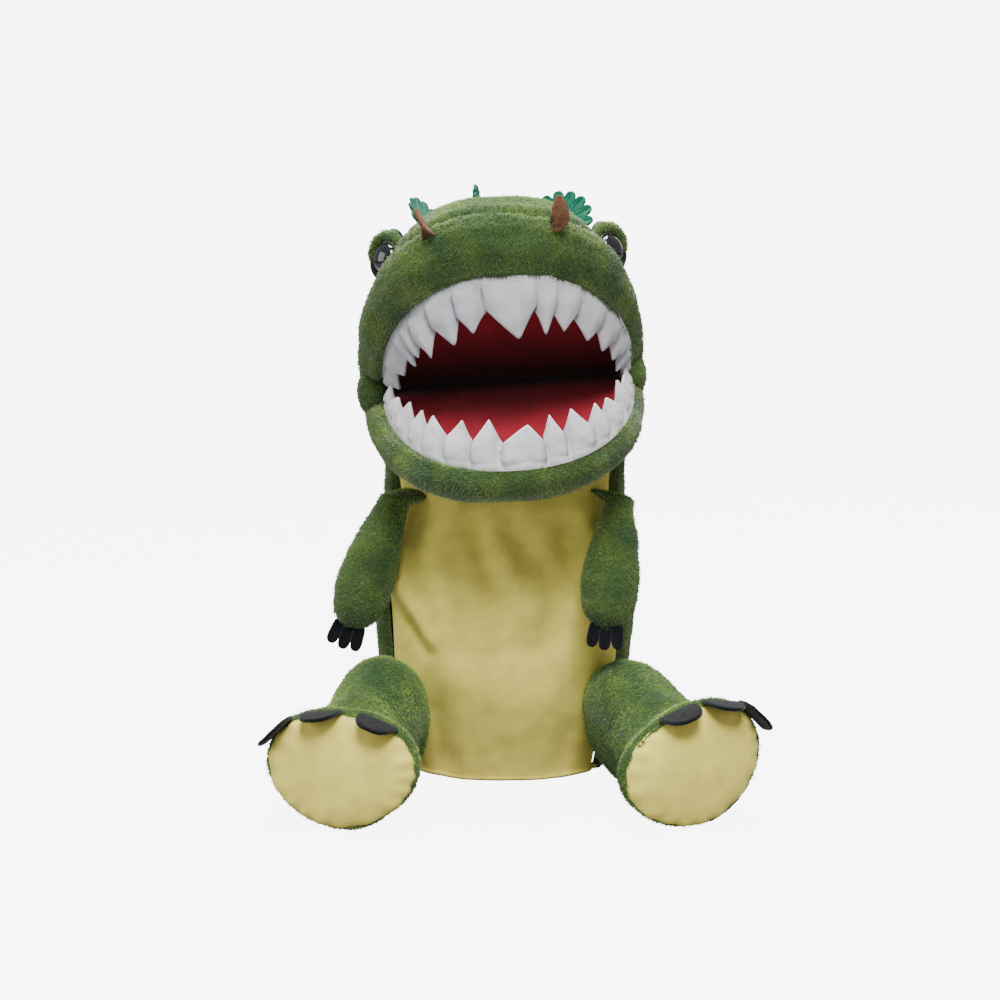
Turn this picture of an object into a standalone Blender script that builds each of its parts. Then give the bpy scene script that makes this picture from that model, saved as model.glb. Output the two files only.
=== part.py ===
"""Plush T-rex hand puppet with a moving mouth, as separate sewn pieces.

Metres, +Z up. The puppet sits on z = 0 and faces -Y. Left and right are the puppet's own,
so its left side is at +X.
"""
import math

import bmesh
import bpy
from mathutils import Matrix, Vector

# Fabrics and fits
GAP = 0.0003              # between pieces that touch
SEAM = 0.0008             # half the gap between panels at a seam
PLUSH = 0.0040            # plush with its pile pressed down
VELOUR = 0.0030           # belly and soles
FELT = 0.0020             # palates, crests, claws
TOOTH_FELT = 0.0015
LINING = 0.0012
FILL_SLACK = 0.0014       # between a cover and its filling
BOARD = 0.0022            # stiff mouth boards

# Torso
TORSO_HEIGHT = 0.176
TORSO_HALF_WIDTH = 0.079
TORSO_FRONT = 0.057
TORSO_BACK = 0.052
HEM_HALF_WIDTH = 0.062
HEM_FRONT = 0.050
NECK_HALF_WIDTH = 0.073
NECK_SLANT = 0.016        # how much lower the neckline is in front
BELLY_HALF_ANGLE = 60     # degrees each side of the front that the belly panel takes
LINING_INSET = 0.0020     # slack between the panels and the sleeve lining
SIDES = 36                # points round the torso and the head
LEG_SIDES = 22
ARM_SIDES = 14

# Head and mouth, in the frame of the mouth hinge
HINGE = Vector((-0.0015, -0.0200, TORSO_HEIGHT + 0.0570))
HEAD_ROLL = math.radians(-4.0)
HEAD_YAW = math.radians(2.0)
UPPER_TILT = math.radians(-35.0)
UPPER_TWIST = math.radians(0.5)
LOWER_TILT = math.radians(22.0)
LOWER_TWIST = math.radians(-0.3)
HEAD_HALF_WIDTH = 0.0860
HEAD_FRONT = 0.1290
HEAD_BACK = 0.0760
HEAD_HEIGHT = 0.0800
MOUTH_HALF_WIDTH = HEAD_HALF_WIDTH - 0.0130
UPPER_MOUTH_LENGTH = HEAD_FRONT - 0.0210
JAW_HALF_WIDTH = HEAD_HALF_WIDTH - 0.0030
JAW_FRONT = 0.1100
LOWER_MOUTH_LENGTH = JAW_FRONT - 0.0080
JAW_DEPTH = 0.0320
UPPER_TOOTH_BAND = 0.0140
UPPER_TOOTH_LENGTH = 0.0120
LOWER_TOOTH_BAND = 0.0110
LOWER_TOOTH_LENGTH = 0.0120
TOOTH_SHARE = 0.40        # most height for the distance from the hinge
UPPER_TEETH = 16
LOWER_TEETH = 15
BOARD_INSET = 0.0060
CREASE = 0.0060           # from the hinge axis to where each stiff half starts

# Pockets for the hand
# Width, length ahead of the hinge, height
FINGER_POCKET = Vector((2 * MOUTH_HALF_WIDTH - 0.0500, UPPER_MOUTH_LENGTH - 0.0220, 0.0250))
FINGER_POCKET_BACK = 0.0300    # how far it reaches behind the hinge
THUMB_POCKET = Vector((0.0560, LOWER_MOUTH_LENGTH - 0.0320, 0.0200))
POCKET_SLACK = 0.0008
POCKET_SIDES = 16

# Eyes
EYE_RADIUS = 0.0085
EYE_DOME = 0.0060
EYE_STEM_RADIUS = 0.0022
EYE_STEM_LENGTH = 0.0130
WASHER_RADIUS = 0.0080
WASHER_THICKNESS = 0.0016
PATCH_RADIUS = 0.0135

# Horns and crests
HORN_LENGTH = 0.0190
HORN_LEVEL = 0.30         # share of the way from lip to crown
HORN_WIDTH = 0.0100
CREST_RADIUS = 0.0190
CREST_LOBES = 7

# Neck
NECK_PIVOT = Vector((0.0, 0.0060, TORSO_HEIGHT + 0.0200))
NECK_CLEARANCE = 0.0031   # between the neck and the rims of head and jaw

# Arms
ARM_LENGTH = 0.0720
ARM_HALF_WIDTH = 0.0175
ARM_HALF_DEPTH = 0.0125
SHOULDER_IN = 0.0130      # inboard of the torso's side
SHOULDER_HEIGHT = TORSO_HEIGHT - 0.0150
SHOULDER_FORWARD = TORSO_FRONT - 0.0170
ARM_CLAW_LENGTH = 0.0130
ARM_CLAW_WIDTH = 0.0060
ARM_CLAW_SPACING = 0.0085

# Legs
LEG_LENGTH = 0.0960
LEG_HALF_WIDTH = 0.0290
THIGH_HALF_HEIGHT = 0.0400
FOOT_HALF_WIDTH = 0.0440
FOOT_HALF_HEIGHT = 0.0310
FOOT_TAPER = 0.12         # toe end wider than the heel
SOLE_BULGE = 0.0050
FOOT_CLAW_LENGTH = 0.0170
FOOT_CLAW_WIDTH = 0.0230
FOOT_CLAW_SPREAD = 38     # degrees between claws
HIP = Vector((TORSO_HALF_WIDTH - 0.0150, -TORSO_FRONT + 0.0190, 0.0))

# Tail
TAIL_LENGTH = 0.1150
TAIL_HALF_WIDTH = 0.0300
TAIL_HALF_HEIGHT = 0.0260

COLOURS = {
    "plush_green": ((0.120, 0.270, 0.060), 0.95),
    "velour_yellow": ((0.620, 0.540, 0.220), 0.90),
    "felt_red": ((0.350, 0.010, 0.030), 0.95),
    "felt_white": ((0.820, 0.800, 0.820), 0.95),
    "felt_teal": ((0.015, 0.220, 0.130), 0.90),
    "felt_brown": ((0.180, 0.075, 0.035), 0.90),
    "felt_black": ((0.008, 0.009, 0.012), 0.90),
    "eye_plastic": ((0.010, 0.010, 0.012), 0.10),
    "washer_plastic": ((0.800, 0.800, 0.780), 0.40),
    "lining_grey": ((0.300, 0.320, 0.300), 0.90),
    "fibre_fill": ((0.850, 0.850, 0.830), 1.00),
    "board_grey": ((0.350, 0.330, 0.300), 0.80),
    "label_white": ((0.850, 0.850, 0.850), 0.70),
}


# ---------------------------------------------------------------- scene helpers

def clear_scene():
    for item in list(bpy.data.objects):
        bpy.data.objects.remove(item, do_unlink=True)


def material(name):
    found = bpy.data.materials.get(name)
    if found:
        return found
    made = bpy.data.materials.new(name)
    made.use_nodes = True
    colour, roughness = COLOURS[name]
    shader = made.node_tree.nodes["Principled BSDF"]
    shader.inputs["Base Color"].default_value = (*colour, 1.0)
    shader.inputs["Roughness"].default_value = roughness
    made.diffuse_color = (*colour, 1.0)
    return made


def empty(name, parent, location=(0, 0, 0), rotation=(0, 0, 0)):
    item = bpy.data.objects.new(name, None)
    bpy.context.scene.collection.objects.link(item)
    item.parent = parent
    item.location = location
    item.rotation_euler = rotation
    return item


def add_object(name, mesh_builder, parent, surface):
    """Turns a filled bmesh into a named, smooth-shaded object with one material."""
    bmesh.ops.recalc_face_normals(mesh_builder, faces=mesh_builder.faces)
    mesh = bpy.data.meshes.new(name)
    mesh_builder.to_mesh(mesh)
    mesh_builder.free()
    mesh.shade_smooth()
    mesh.set_sharp_from_angle(angle=math.radians(40))
    mesh.materials.append(material(surface))
    item = bpy.data.objects.new(name, mesh)
    bpy.context.scene.collection.objects.link(item)
    item.parent = parent
    return item


def cutter(name, item_to_cut, builder, parent):
    """Cuts a shape out of an object and hides the shape."""
    tool = add_object(name, builder, parent, "board_grey")
    tool.hide_render = True
    tool.display_type = "WIRE"
    cut = item_to_cut.modifiers.new("cut_" + name, "BOOLEAN")
    cut.operation = "DIFFERENCE"
    cut.object = tool
    return tool


def thicken(item, thickness, outward=False):
    wall = item.modifiers.new("thickness", "SOLIDIFY")
    wall.thickness = thickness
    wall.offset = 1.0 if outward else -1.0
    wall.use_even_offset = True


# ---------------------------------------------------------------- shape helpers

def between(values, t):
    """Smooth value at t (0 to 1) through evenly spaced values."""
    last = len(values) - 1
    place = min(max(t, 0.0), 1.0) * last
    i = min(int(place), last - 1)
    f = place - i
    before, a = values[max(i - 1, 0)], values[i]
    b, after = values[i + 1], values[min(i + 2, last)]
    return a + 0.5 * f * (b - before + f * (2 * before - 5 * a + 4 * b - after
                                            + f * (3 * (a - b) + after - before)))


def signed_power(value, power):
    return math.copysign(abs(value) ** power, value)


def egg_point(angle, half_width, front, back, squareness):
    """Point on a rounded outline; angle 0 is +X and -90 degrees is the front (-Y)."""
    power = 2.0 / squareness
    x = half_width * signed_power(math.cos(angle), power)
    reach = front if math.sin(angle) < 0 else back
    return x, reach * signed_power(math.sin(angle), power)


def loft(rings, close_start=False, close_end=False, cyclic=True):
    """Skins a list of rings of points; an end closes on its middle."""
    builder = bmesh.new()
    rows = [[builder.verts.new(p) for p in ring] for ring in rings]
    for low, high in zip(rows, rows[1:]):
        count = len(low)
        for i in range(count if cyclic else count - 1):
            j = (i + 1) % count
            builder.faces.new((low[i], low[j], high[j], high[i]))
    for wanted, row in ((close_start, rows[0]), (close_end, rows[-1])):
        if wanted:
            middle = sum((v.co for v in row), Vector()) / len(row)
            tip = builder.verts.new(middle)
            for i in range(len(row)):
                builder.faces.new((row[i], row[(i + 1) % len(row)], tip))
    return builder


def shrunk(builder, distance):
    """Moves an open surface inwards and closes its opening, to fit inside its cover."""
    bmesh.ops.recalc_face_normals(builder, faces=builder.faces)
    builder.normal_update()
    moved = [(v, v.co - v.normal * distance * min(v.calc_shell_factor(), 1.6)) for v in builder.verts]
    for v, place in moved:
        v.co = place
    rim = [e for e in builder.edges if e.is_boundary]
    corners = {v for e in rim for v in e.verts}
    middle = builder.verts.new(sum((v.co for v in corners), Vector()) / len(corners))
    for edge in rim:
        builder.faces.new((*edge.verts, middle))
    return builder


def slab(outline, thickness, place=Matrix()):
    """Extrudes a flat outline in XY up by a thickness."""
    builder = bmesh.new()
    base = builder.faces.new([builder.verts.new((x, y, 0.0)) for x, y in outline])
    raised = bmesh.ops.extrude_face_region(builder, geom=[base])
    moved = [v for v in raised["geom"] if isinstance(v, bmesh.types.BMVert)]
    bmesh.ops.translate(builder, vec=(0, 0, thickness), verts=moved)
    bmesh.ops.transform(builder, matrix=place, verts=builder.verts)
    return builder


def round_bar(radius, length, sides, place=Matrix()):
    """A cylinder from z = 0 to z = length."""
    builder = bmesh.new()
    bmesh.ops.create_cone(builder, cap_ends=True, segments=sides, radius1=radius, radius2=radius,
                          depth=length, matrix=place @ Matrix.Translation((0, 0, length / 2)))
    return builder


def turned(profile, sides, place=Matrix()):
    """Turns a profile of (radius, height) about Z; it starts and ends on the axis."""
    builder = bmesh.new()
    points = [builder.verts.new((r, 0.0, z)) for r, z in profile]
    edges = [builder.edges.new(pair) for pair in zip(points, points[1:])]
    bmesh.ops.spin(builder, geom=points + edges, cent=(0, 0, 0), axis=(0, 0, 1),
                   angle=2 * math.pi, steps=sides, use_merge=True)
    bmesh.ops.remove_doubles(builder, verts=builder.verts, dist=1e-6)
    bmesh.ops.transform(builder, matrix=place, verts=builder.verts)
    return builder


def facing(point, normal, up):
    """Frame at a point: Z along the normal, Y near the given up direction."""
    z = normal.normalized()
    x = up.cross(z).normalized()
    y = z.cross(x)
    return Matrix.Translation(point) @ Matrix((x, y, z)).transposed().to_4x4()


# ---------------------------------------------------------------- torso

def torso_point(angle, t, inset=0.0):
    """Point on the torso's outer surface; t runs from the hem (0) to the neck (1)."""
    width = between([HEM_HALF_WIDTH, TORSO_HALF_WIDTH * 0.94, TORSO_HALF_WIDTH,
                     TORSO_HALF_WIDTH, NECK_HALF_WIDTH], t)
    front = between([HEM_FRONT, TORSO_FRONT, TORSO_FRONT, TORSO_FRONT * 0.95,
                     TORSO_FRONT * 0.78], t)
    back = between([TORSO_BACK, TORSO_BACK, TORSO_BACK, TORSO_BACK * 0.96,
                    TORSO_BACK * 0.84], t)
    x, y = egg_point(angle, width - inset, front - inset, back - inset, 2.3)
    slant = NECK_SLANT * t * t * (1 - math.sin(angle)) / 2
    return Vector((x, y, TORSO_HEIGHT * t - slant))


def torso_panel(first, last, inset, count):
    angles = [math.radians(first + (last - first) * i / (count - 1)) for i in range(count)]
    levels = [i / 8 for i in range(9)]
    return loft([[torso_point(a, t, inset) for a in angles] for t in levels], cyclic=False)


def make_torso(root):
    seam = math.degrees(SEAM / TORSO_HALF_WIDTH)
    belly_from, belly_to = -90 - BELLY_HALF_ANGLE, -90 + BELLY_HALF_ANGLE
    belly = add_object("belly_panel", torso_panel(belly_from + seam, belly_to - seam, 0, 17),
                       root, "velour_yellow")
    thicken(belly, VELOUR)
    back = add_object("body_back", torso_panel(belly_to + seam, 360 + belly_from - seam, 0, 27),
                      root, "plush_green")
    thicken(back, PLUSH)
    inset = PLUSH + LINING_INSET
    angles = [2 * math.pi * i / SIDES for i in range(SIDES)]
    rings = [[torso_point(a, t, inset) for a in angles] for t in (0.015, 0.25, 0.5, 0.75, 0.98)]
    sleeve = add_object("sleeve_lining", loft(rings), root, "lining_grey")
    thicken(sleeve, LINING)
    label = [(-0.009, 0.0), (0.009, 0.0), (0.009, 0.030), (-0.009, 0.030)]
    stand = torso_point(math.pi / 2, 0.04, inset + LINING + GAP * 2)
    add_object("care_label", slab(label, 0.0004, Matrix.Translation(stand)
               @ Matrix.Rotation(math.pi / 2, 4, "X")), root, "label_white")


def neck_top(angle, frames):
    """Top edge of the neck: under the head's rim behind, behind the jaw in front."""
    upper, lower = frames
    if math.sin(angle) >= 0:
        rim = head_point(angle, 0.0)
        return upper @ Vector((rim.x * 0.92, rim.y * 0.92, -NECK_CLEARANCE))
    x = JAW_HALF_WIDTH * 0.86 * math.cos(angle)
    z = -JAW_DEPTH * 0.88 * abs(math.sin(angle)) ** 0.8 - 3 * NECK_CLEARANCE
    return lower @ Vector((x, 2 * NECK_CLEARANCE + PLUSH, z))


def neck_panel(first, last, count, frames):
    angles = [math.radians(first + (last - first) * i / (count - 1)) for i in range(count)]
    rings = []
    for f in (0.0, 0.25, 0.5, 0.75, 1.0):
        ring = []
        for a in angles:
            low = torso_point(a, 1.0) + Vector((0, 0, NECK_CLEARANCE))
            ring.append(low.lerp(neck_top(a, frames), f))
        rings.append(ring)
    return loft(rings, cyclic=False)


def make_neck(axis, frames):
    """The plush and velour that join torso and head and give way when the head moves."""
    seam = math.degrees(SEAM / TORSO_HALF_WIDTH)
    belly_from, belly_to = -90 - BELLY_HALF_ANGLE, -90 + BELLY_HALF_ANGLE
    spans = (("throat_panel", belly_from + seam, belly_to - seam, 17, "velour_yellow"),
             ("neck_cover", belly_to + seam, 360 + belly_from - seam, 27, "plush_green"))
    for name, first, last, count, surface in spans:
        panel = neck_panel(first, last, count, frames)
        bmesh.ops.translate(panel, vec=-NECK_PIVOT, verts=panel.verts)
        thicken(add_object(name, panel, axis, surface), VELOUR)


# ---------------------------------------------------------------- head

def head_point(angle, t, inset=0.0):
    """Point on the head cover in the upper jaw's frame; t runs from the lip to the crown."""
    h = HEAD_HEIGHT
    height = between([0.0, 0.11 * h, 0.25 * h, 0.43 * h, 0.63 * h, 0.81 * h, 0.94 * h, h], t)
    w = HEAD_HALF_WIDTH
    width = w * between([0.90, 0.985, 0.975, 0.865, 0.745, 0.625, 0.43, 0.17], t)
    f = HEAD_FRONT
    front = between([0.88 * f, 0.96 * f, f, 0.975 * f, 0.89 * f, 0.74 * f, 0.52 * f, 0.25 * f], t)
    b = HEAD_BACK
    back = between([0.90 * b, 0.97 * b, b, 0.98 * b, 0.88 * b, 0.66 * b, 0.36 * b, 0.02 * b], t)
    x, y = egg_point(angle, width - inset, front - inset, back - inset, 2.25 + 0.9 * t * t)
    return Vector((x, y, height - inset * t))


def head_normal(angle, t):
    step = 0.01
    round_way = head_point(angle + step, t) - head_point(angle - step, t)
    up_way = head_point(angle, t + step) - head_point(angle, t - step)
    return round_way.cross(up_way).normalized()


def head_rings(inset, levels):
    angles = [2 * math.pi * i / SIDES for i in range(SIDES)]
    return [[head_point(a, t, inset) for a in angles] for t in levels]


def mouth_outline(half_width, length, back, count=25):
    """U-shaped outline in XY, from the left corner round the front to the right corner."""
    points = [(half_width, -back)]
    for i in range(count):
        angle = -math.pi * i / (count - 1)
        x, y = egg_point(angle, half_width, length - back, 0, 2.2)
        points.append((x, y - back))
    points.append((-half_width, -back))
    return points[1:-1]


def mouth_plate(name, half_width, length, back, thickness, bottom, parent, surface):
    outline = mouth_outline(half_width, length, back)
    add_object(name, slab(outline, thickness, Matrix.Translation((0, 0, bottom))), parent, surface)


def tooth_height(share, count, band, tooth, big_middle):
    """Height of the strip's free edge at a share of the way round the mouth."""
    place = share * count
    ramp = math.sin(math.pi * min(max(share, 0.0), 1.0)) ** 0.45
    point = 1.0 - abs(2.0 * (place - math.floor(place)) - 1.0)
    size = tooth
    if big_middle and abs(share - 0.5) < 0.5 / count:
        size = tooth * 1.25
    return ramp * band + point * size * (0.35 + 0.65 * ramp) + 0.0025


def teeth_strip(count, half_width, length, back, band, tooth, lean, sign, big_middle):
    """A felt strip with pointed teeth that stands along the U of the mouth."""
    steps = count * 2 + 1
    foot, tip = [], []
    for i in range(steps):
        share = i / (steps - 1)
        angle = -math.pi * (0.04 + 0.92 * share)
        x, y = egg_point(angle, half_width, length - back, 0, 2.2)
        rise = min(tooth_height(share, count, band, tooth, big_middle), TOOTH_SHARE * (back - y))
        inward = Vector((-math.cos(angle), -math.sin(angle), 0.0))
        base = Vector((x, y - back, 0.0))
        foot.append(base)
        tip.append(base + inward * rise * math.sin(lean) + Vector((0, 0, sign * rise * math.cos(lean))))
    return loft([foot, tip], cyclic=False)


def pocket(size, back, place):
    """A flat fabric tube, open at the back and closed at the front."""
    half_width, height = size.x / 2, size.z
    rings = []
    stops = [(-back, 1.0), (size.y * 0.30, 1.0), (size.y * 0.60, 0.98), (size.y * 0.84, 0.86),
             (size.y, 0.60)]
    for forward, scale in stops:
        ring = []
        for i in range(POCKET_SIDES):
            a = 2 * math.pi * i / POCKET_SIDES
            x = half_width * scale * signed_power(math.cos(a), 0.7)
            z = height / 2 * (1 + signed_power(math.sin(a), 0.7) * (0.5 + 0.5 * scale))
            ring.append(Vector((x, -forward, z)))
        rings.append(ring)
    builder = loft(rings, close_end=True)
    bmesh.ops.transform(builder, matrix=place, verts=builder.verts)
    return builder


def block(low, high):
    size = [b - a for a, b in zip(low, high)]
    middle = [(a + b) / 2 for a, b in zip(low, high)]
    builder = bmesh.new()
    bmesh.ops.create_cube(builder, size=1.0,
                          matrix=Matrix.Translation(middle) @ Matrix.Diagonal((*size, 1)))
    return builder


EYE_LEVEL = 0.46
EYE_ANGLE = math.radians(-35)


def eye_place(side):
    angle = EYE_ANGLE if side > 0 else math.pi - EYE_ANGLE
    point, normal = head_point(angle, EYE_LEVEL), head_normal(angle, EYE_LEVEL)
    return facing(point, normal, Vector((0, 0, 1)))


def make_eyes(upper, cover, filling):
    for side, tag in ((1, "left"), (-1, "right")):
        place = eye_place(side)
        patch_lift = 0.0012
        lens = []
        for i in range(16):
            a = 2 * math.pi * i / 16
            stretch = 1.0 + 0.25 * max(math.sin(a), 0.0)
            lens.append((PATCH_RADIUS * math.cos(a), PATCH_RADIUS * stretch * math.sin(a)))
        hole = round_bar(EYE_STEM_RADIUS + GAP, 0.05, 10, place @ Matrix.Translation((0, 0, -0.025)))
        cutter("eye_hole_" + tag, cover, hole, upper)
        patch = add_object("eye_patch_" + tag, slab(lens, FELT / 2, place
                           @ Matrix.Translation((0, 0, patch_lift))), upper, "felt_black")
        patch_hole = round_bar(EYE_STEM_RADIUS + GAP, 0.02, 10, place
                               @ Matrix.Translation((0, 0, -0.01)))
        cutter("patch_hole_" + tag, patch, patch_hole, upper)
        seat = patch_lift + FELT / 2 + GAP
        r = EYE_RADIUS
        profile = [(0, -EYE_STEM_LENGTH), (EYE_STEM_RADIUS, -EYE_STEM_LENGTH),
                   (EYE_STEM_RADIUS, seat), (r, seat), (r, seat + 0.001),
                   (r * 0.86, seat + EYE_DOME * 0.55), (r * 0.5, seat + EYE_DOME * 0.88),
                   (0, seat + EYE_DOME)]
        add_object("eye_" + tag, turned(profile, 14, place), upper, "eye_plastic")
        depth = -(PLUSH + 0.0025 + WASHER_THICKNESS)
        washer = add_object("eye_washer_" + tag, round_bar(WASHER_RADIUS, WASHER_THICKNESS, 14,
                            place @ Matrix.Translation((0, 0, depth))), upper, "washer_plastic")
        bore = round_bar(EYE_STEM_RADIUS + GAP, 0.01, 10, place
                         @ Matrix.Translation((0, 0, depth - 0.004)))
        cutter("washer_bore_" + tag, washer, bore, upper)
        room = round_bar(WASHER_RADIUS + 0.002, 0.03, 10, place
                         @ Matrix.Translation((0, 0, -EYE_STEM_LENGTH - 0.002)))
        cutter("washer_room_" + tag, filling, room, upper)


def make_brows(upper):
    """Padded plush hoods over the eyes."""
    for side, tag in ((1, "left"), (-1, "right")):
        rings = []
        for i in range(9):
            f = i / 8
            angle = EYE_ANGLE + math.radians(-15 + 33 * f)
            angle = angle if side > 0 else math.pi - angle
            level = EYE_LEVEL + 0.165
            fat = 0.0025 + 0.0035 * math.sin(math.pi * f)
            centre = head_point(angle, level) + head_normal(angle, level) * (fat + 0.0006)
            out = head_normal(angle, level)
            up = Vector((0, 0, 1)) - out * out.z
            up.normalize()
            ring = []
            for k in range(10):
                a = 2 * math.pi * k / 10
                ring.append(centre + out * fat * math.cos(a) + up * fat * 1.25 * math.sin(a))
            rings.append(ring)
        add_object("brow_" + tag, loft(rings, True, True), upper, "plush_green")


def make_horns(upper):
    """Folded felt horns on the snout, leaving along the surface's normal and bending upright."""
    steps = 6
    for tag, angle, turn, lean in (("left", -71, 10, 0.0), ("right", -113, 68, -0.35)):
        angle = math.radians(angle)
        normal = head_normal(angle, HORN_LEVEL)
        upright = Vector((lean, math.sin(UPPER_TILT) * 0.8, math.cos(UPPER_TILT))).normalized()
        centre = head_point(angle, HORN_LEVEL) + normal * GAP * 4
        rings = []
        for i in range(steps + 1):
            f = i / steps
            ahead = normal.lerp(upright, min(1.0, 2 * f)).normalized()
            frame = facing(centre, ahead, Vector((0, -1, 0.2))) @ Matrix.Rotation(math.radians(turn), 4, "Z")
            half = HORN_WIDTH / 2 * (0.55 + 1.1 * f - 1.55 * f * f) + 0.0004
            thick = FELT * (0.9 - 0.45 * f)
            rings.append([frame @ Vector((half * math.cos(a), thick * math.sin(a), 0))
                          for a in (2 * math.pi * k / 10 for k in range(10))])
            centre = centre + ahead * (HORN_LENGTH / steps)
        add_object("horn_" + tag, loft(rings, True, True), upper, "felt_brown")


def crest_outline(radius, lobes, first, last):
    """A fan with a scalloped edge."""
    points = [(-radius * 0.22, 0.0)]
    steps = lobes * 4
    for i in range(steps + 1):
        f = i / steps
        angle = math.radians(first + (last - first) * f)
        reach = radius * (0.80 + 0.20 * abs(math.sin(math.pi * lobes * f)))
        points.append((-reach * math.cos(angle), reach * math.sin(angle)))
    points.append((radius * 0.22, 0.0))
    return points


def make_crests(upper):
    """Teal felt fans standing on the crown."""
    spots = (("crest_left", -38, 0.78, -12, 1.0), ("crest_right", -139, 0.78, 55, 1.0),
             ("crest_middle", -97, 0.80, 80, 0.6))
    for name, angle, level, turn, size in spots:
        angle = math.radians(angle)
        normal = head_normal(angle, level)
        stand = facing(head_point(angle, level) + normal * FELT, normal, Vector((0, 1, 0)))
        spin = Matrix.Rotation(math.radians(turn), 4, "Z") @ Matrix.Rotation(math.pi / 2, 4, "X")
        place = stand @ spin @ Matrix.Translation((0, 0, -FELT / 2))
        add_object(name, slab(crest_outline(CREST_RADIUS * size, CREST_LOBES, 8, 172), FELT, place),
                   upper, "felt_teal")


def make_head(upper):
    levels = [0.0, 0.07, 0.14, 0.24, 0.36, 0.48, 0.60, 0.71, 0.81, 0.90, 0.96]
    outer = loft(head_rings(0.0, levels), close_end=True)
    cover = add_object("head_cover", outer, upper, "plush_green")
    thicken(cover, PLUSH)
    core = shrunk(loft(head_rings(0.0, levels[1:]), close_end=True), PLUSH + FILL_SLACK)
    filling = add_object("head_filling", core, upper, "fibre_fill")
    half = FINGER_POCKET.x / 2 + POCKET_SLACK
    roof = BOARD + FELT + GAP * 4 + FINGER_POCKET.z + POCKET_SLACK
    mouth_room = block((-HEAD_HALF_WIDTH, -HEAD_FRONT * 1.1, -0.02),
                       (HEAD_HALF_WIDTH, 0.0, BOARD + FELT + GAP * 4))
    cutter("board_room", filling, mouth_room, upper)
    pocket_room = block((-half, -FINGER_POCKET.y - POCKET_SLACK, -0.02), (half, HEAD_BACK * 0.8, roof))
    cutter("pocket_room", filling, pocket_room, upper)
    mouth_plate("upper_palate", MOUTH_HALF_WIDTH - TOOTH_FELT, UPPER_MOUTH_LENGTH - TOOTH_FELT, CREASE,
                FELT, GAP, upper, "felt_red")
    mouth_plate("upper_mouth_board", MOUTH_HALF_WIDTH - BOARD_INSET, UPPER_MOUTH_LENGTH - BOARD_INSET,
                CREASE, BOARD, FELT + GAP * 2, upper, "board_grey")
    lift = Matrix.Translation((0, 0, FELT + BOARD + GAP * 3))
    fingers = pocket(FINGER_POCKET, FINGER_POCKET_BACK, lift)
    item = add_object("finger_pocket", fingers, upper, "lining_grey")
    thicken(item, LINING)
    strip = teeth_strip(UPPER_TEETH, MOUTH_HALF_WIDTH, UPPER_MOUTH_LENGTH, 0.002,
                        UPPER_TOOTH_BAND, UPPER_TOOTH_LENGTH, math.radians(12), -1, True)
    bmesh.ops.translate(strip, vec=(0, 0, -GAP), verts=strip.verts)
    teeth = add_object("upper_teeth", strip, upper, "felt_white")
    thicken(teeth, TOOTH_FELT)
    make_eyes(upper, cover, filling)
    make_brows(upper)
    make_horns(upper)
    make_crests(upper)


# ---------------------------------------------------------------- lower jaw

def jaw_point(angle, t):
    """Point on the jaw cover; angle runs 0 to -180 degrees round the front, t from lip to keel."""
    depth = JAW_DEPTH * between([0.0, 0.22, 0.50, 0.78, 0.95, 1.0], t)
    width = JAW_HALF_WIDTH * between([0.93, 1.0, 0.985, 0.86, 0.62, 0.26], t)
    front = JAW_FRONT * between([0.955, 1.0, 0.985, 0.89, 0.71, 0.42], t)
    x, y = egg_point(angle, width, front, 0, 2.2)
    return Vector((x, y, -depth))


def jaw_surface(back, levels):
    """Bowl of nested U rows that end straight at the hinge; the last row is joined to itself."""
    count = SIDES * 3 // 4
    rows = []
    for t in levels:
        points = [jaw_point(-math.pi * i / (count - 1), t) for i in range(count)]
        rows.append([Vector((p.x, min(p.y, 0.0) - back, p.z - GAP * 2)) for p in points])
    builder = bmesh.new()
    grid = [[builder.verts.new(p) for p in row] for row in rows]
    for low, high in zip(grid, grid[1:]):
        for i in range(len(low) - 1):
            builder.faces.new((low[i], low[i + 1], high[i + 1], high[i]))
    last = grid[-1]
    left, right = 0, len(last) - 1
    while right - left > 2:
        builder.faces.new((last[left], last[left + 1], last[right - 1], last[right]))
        left, right = left + 1, right - 1
    builder.faces.new((last[left], last[left + 1], last[right]))
    return builder


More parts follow.
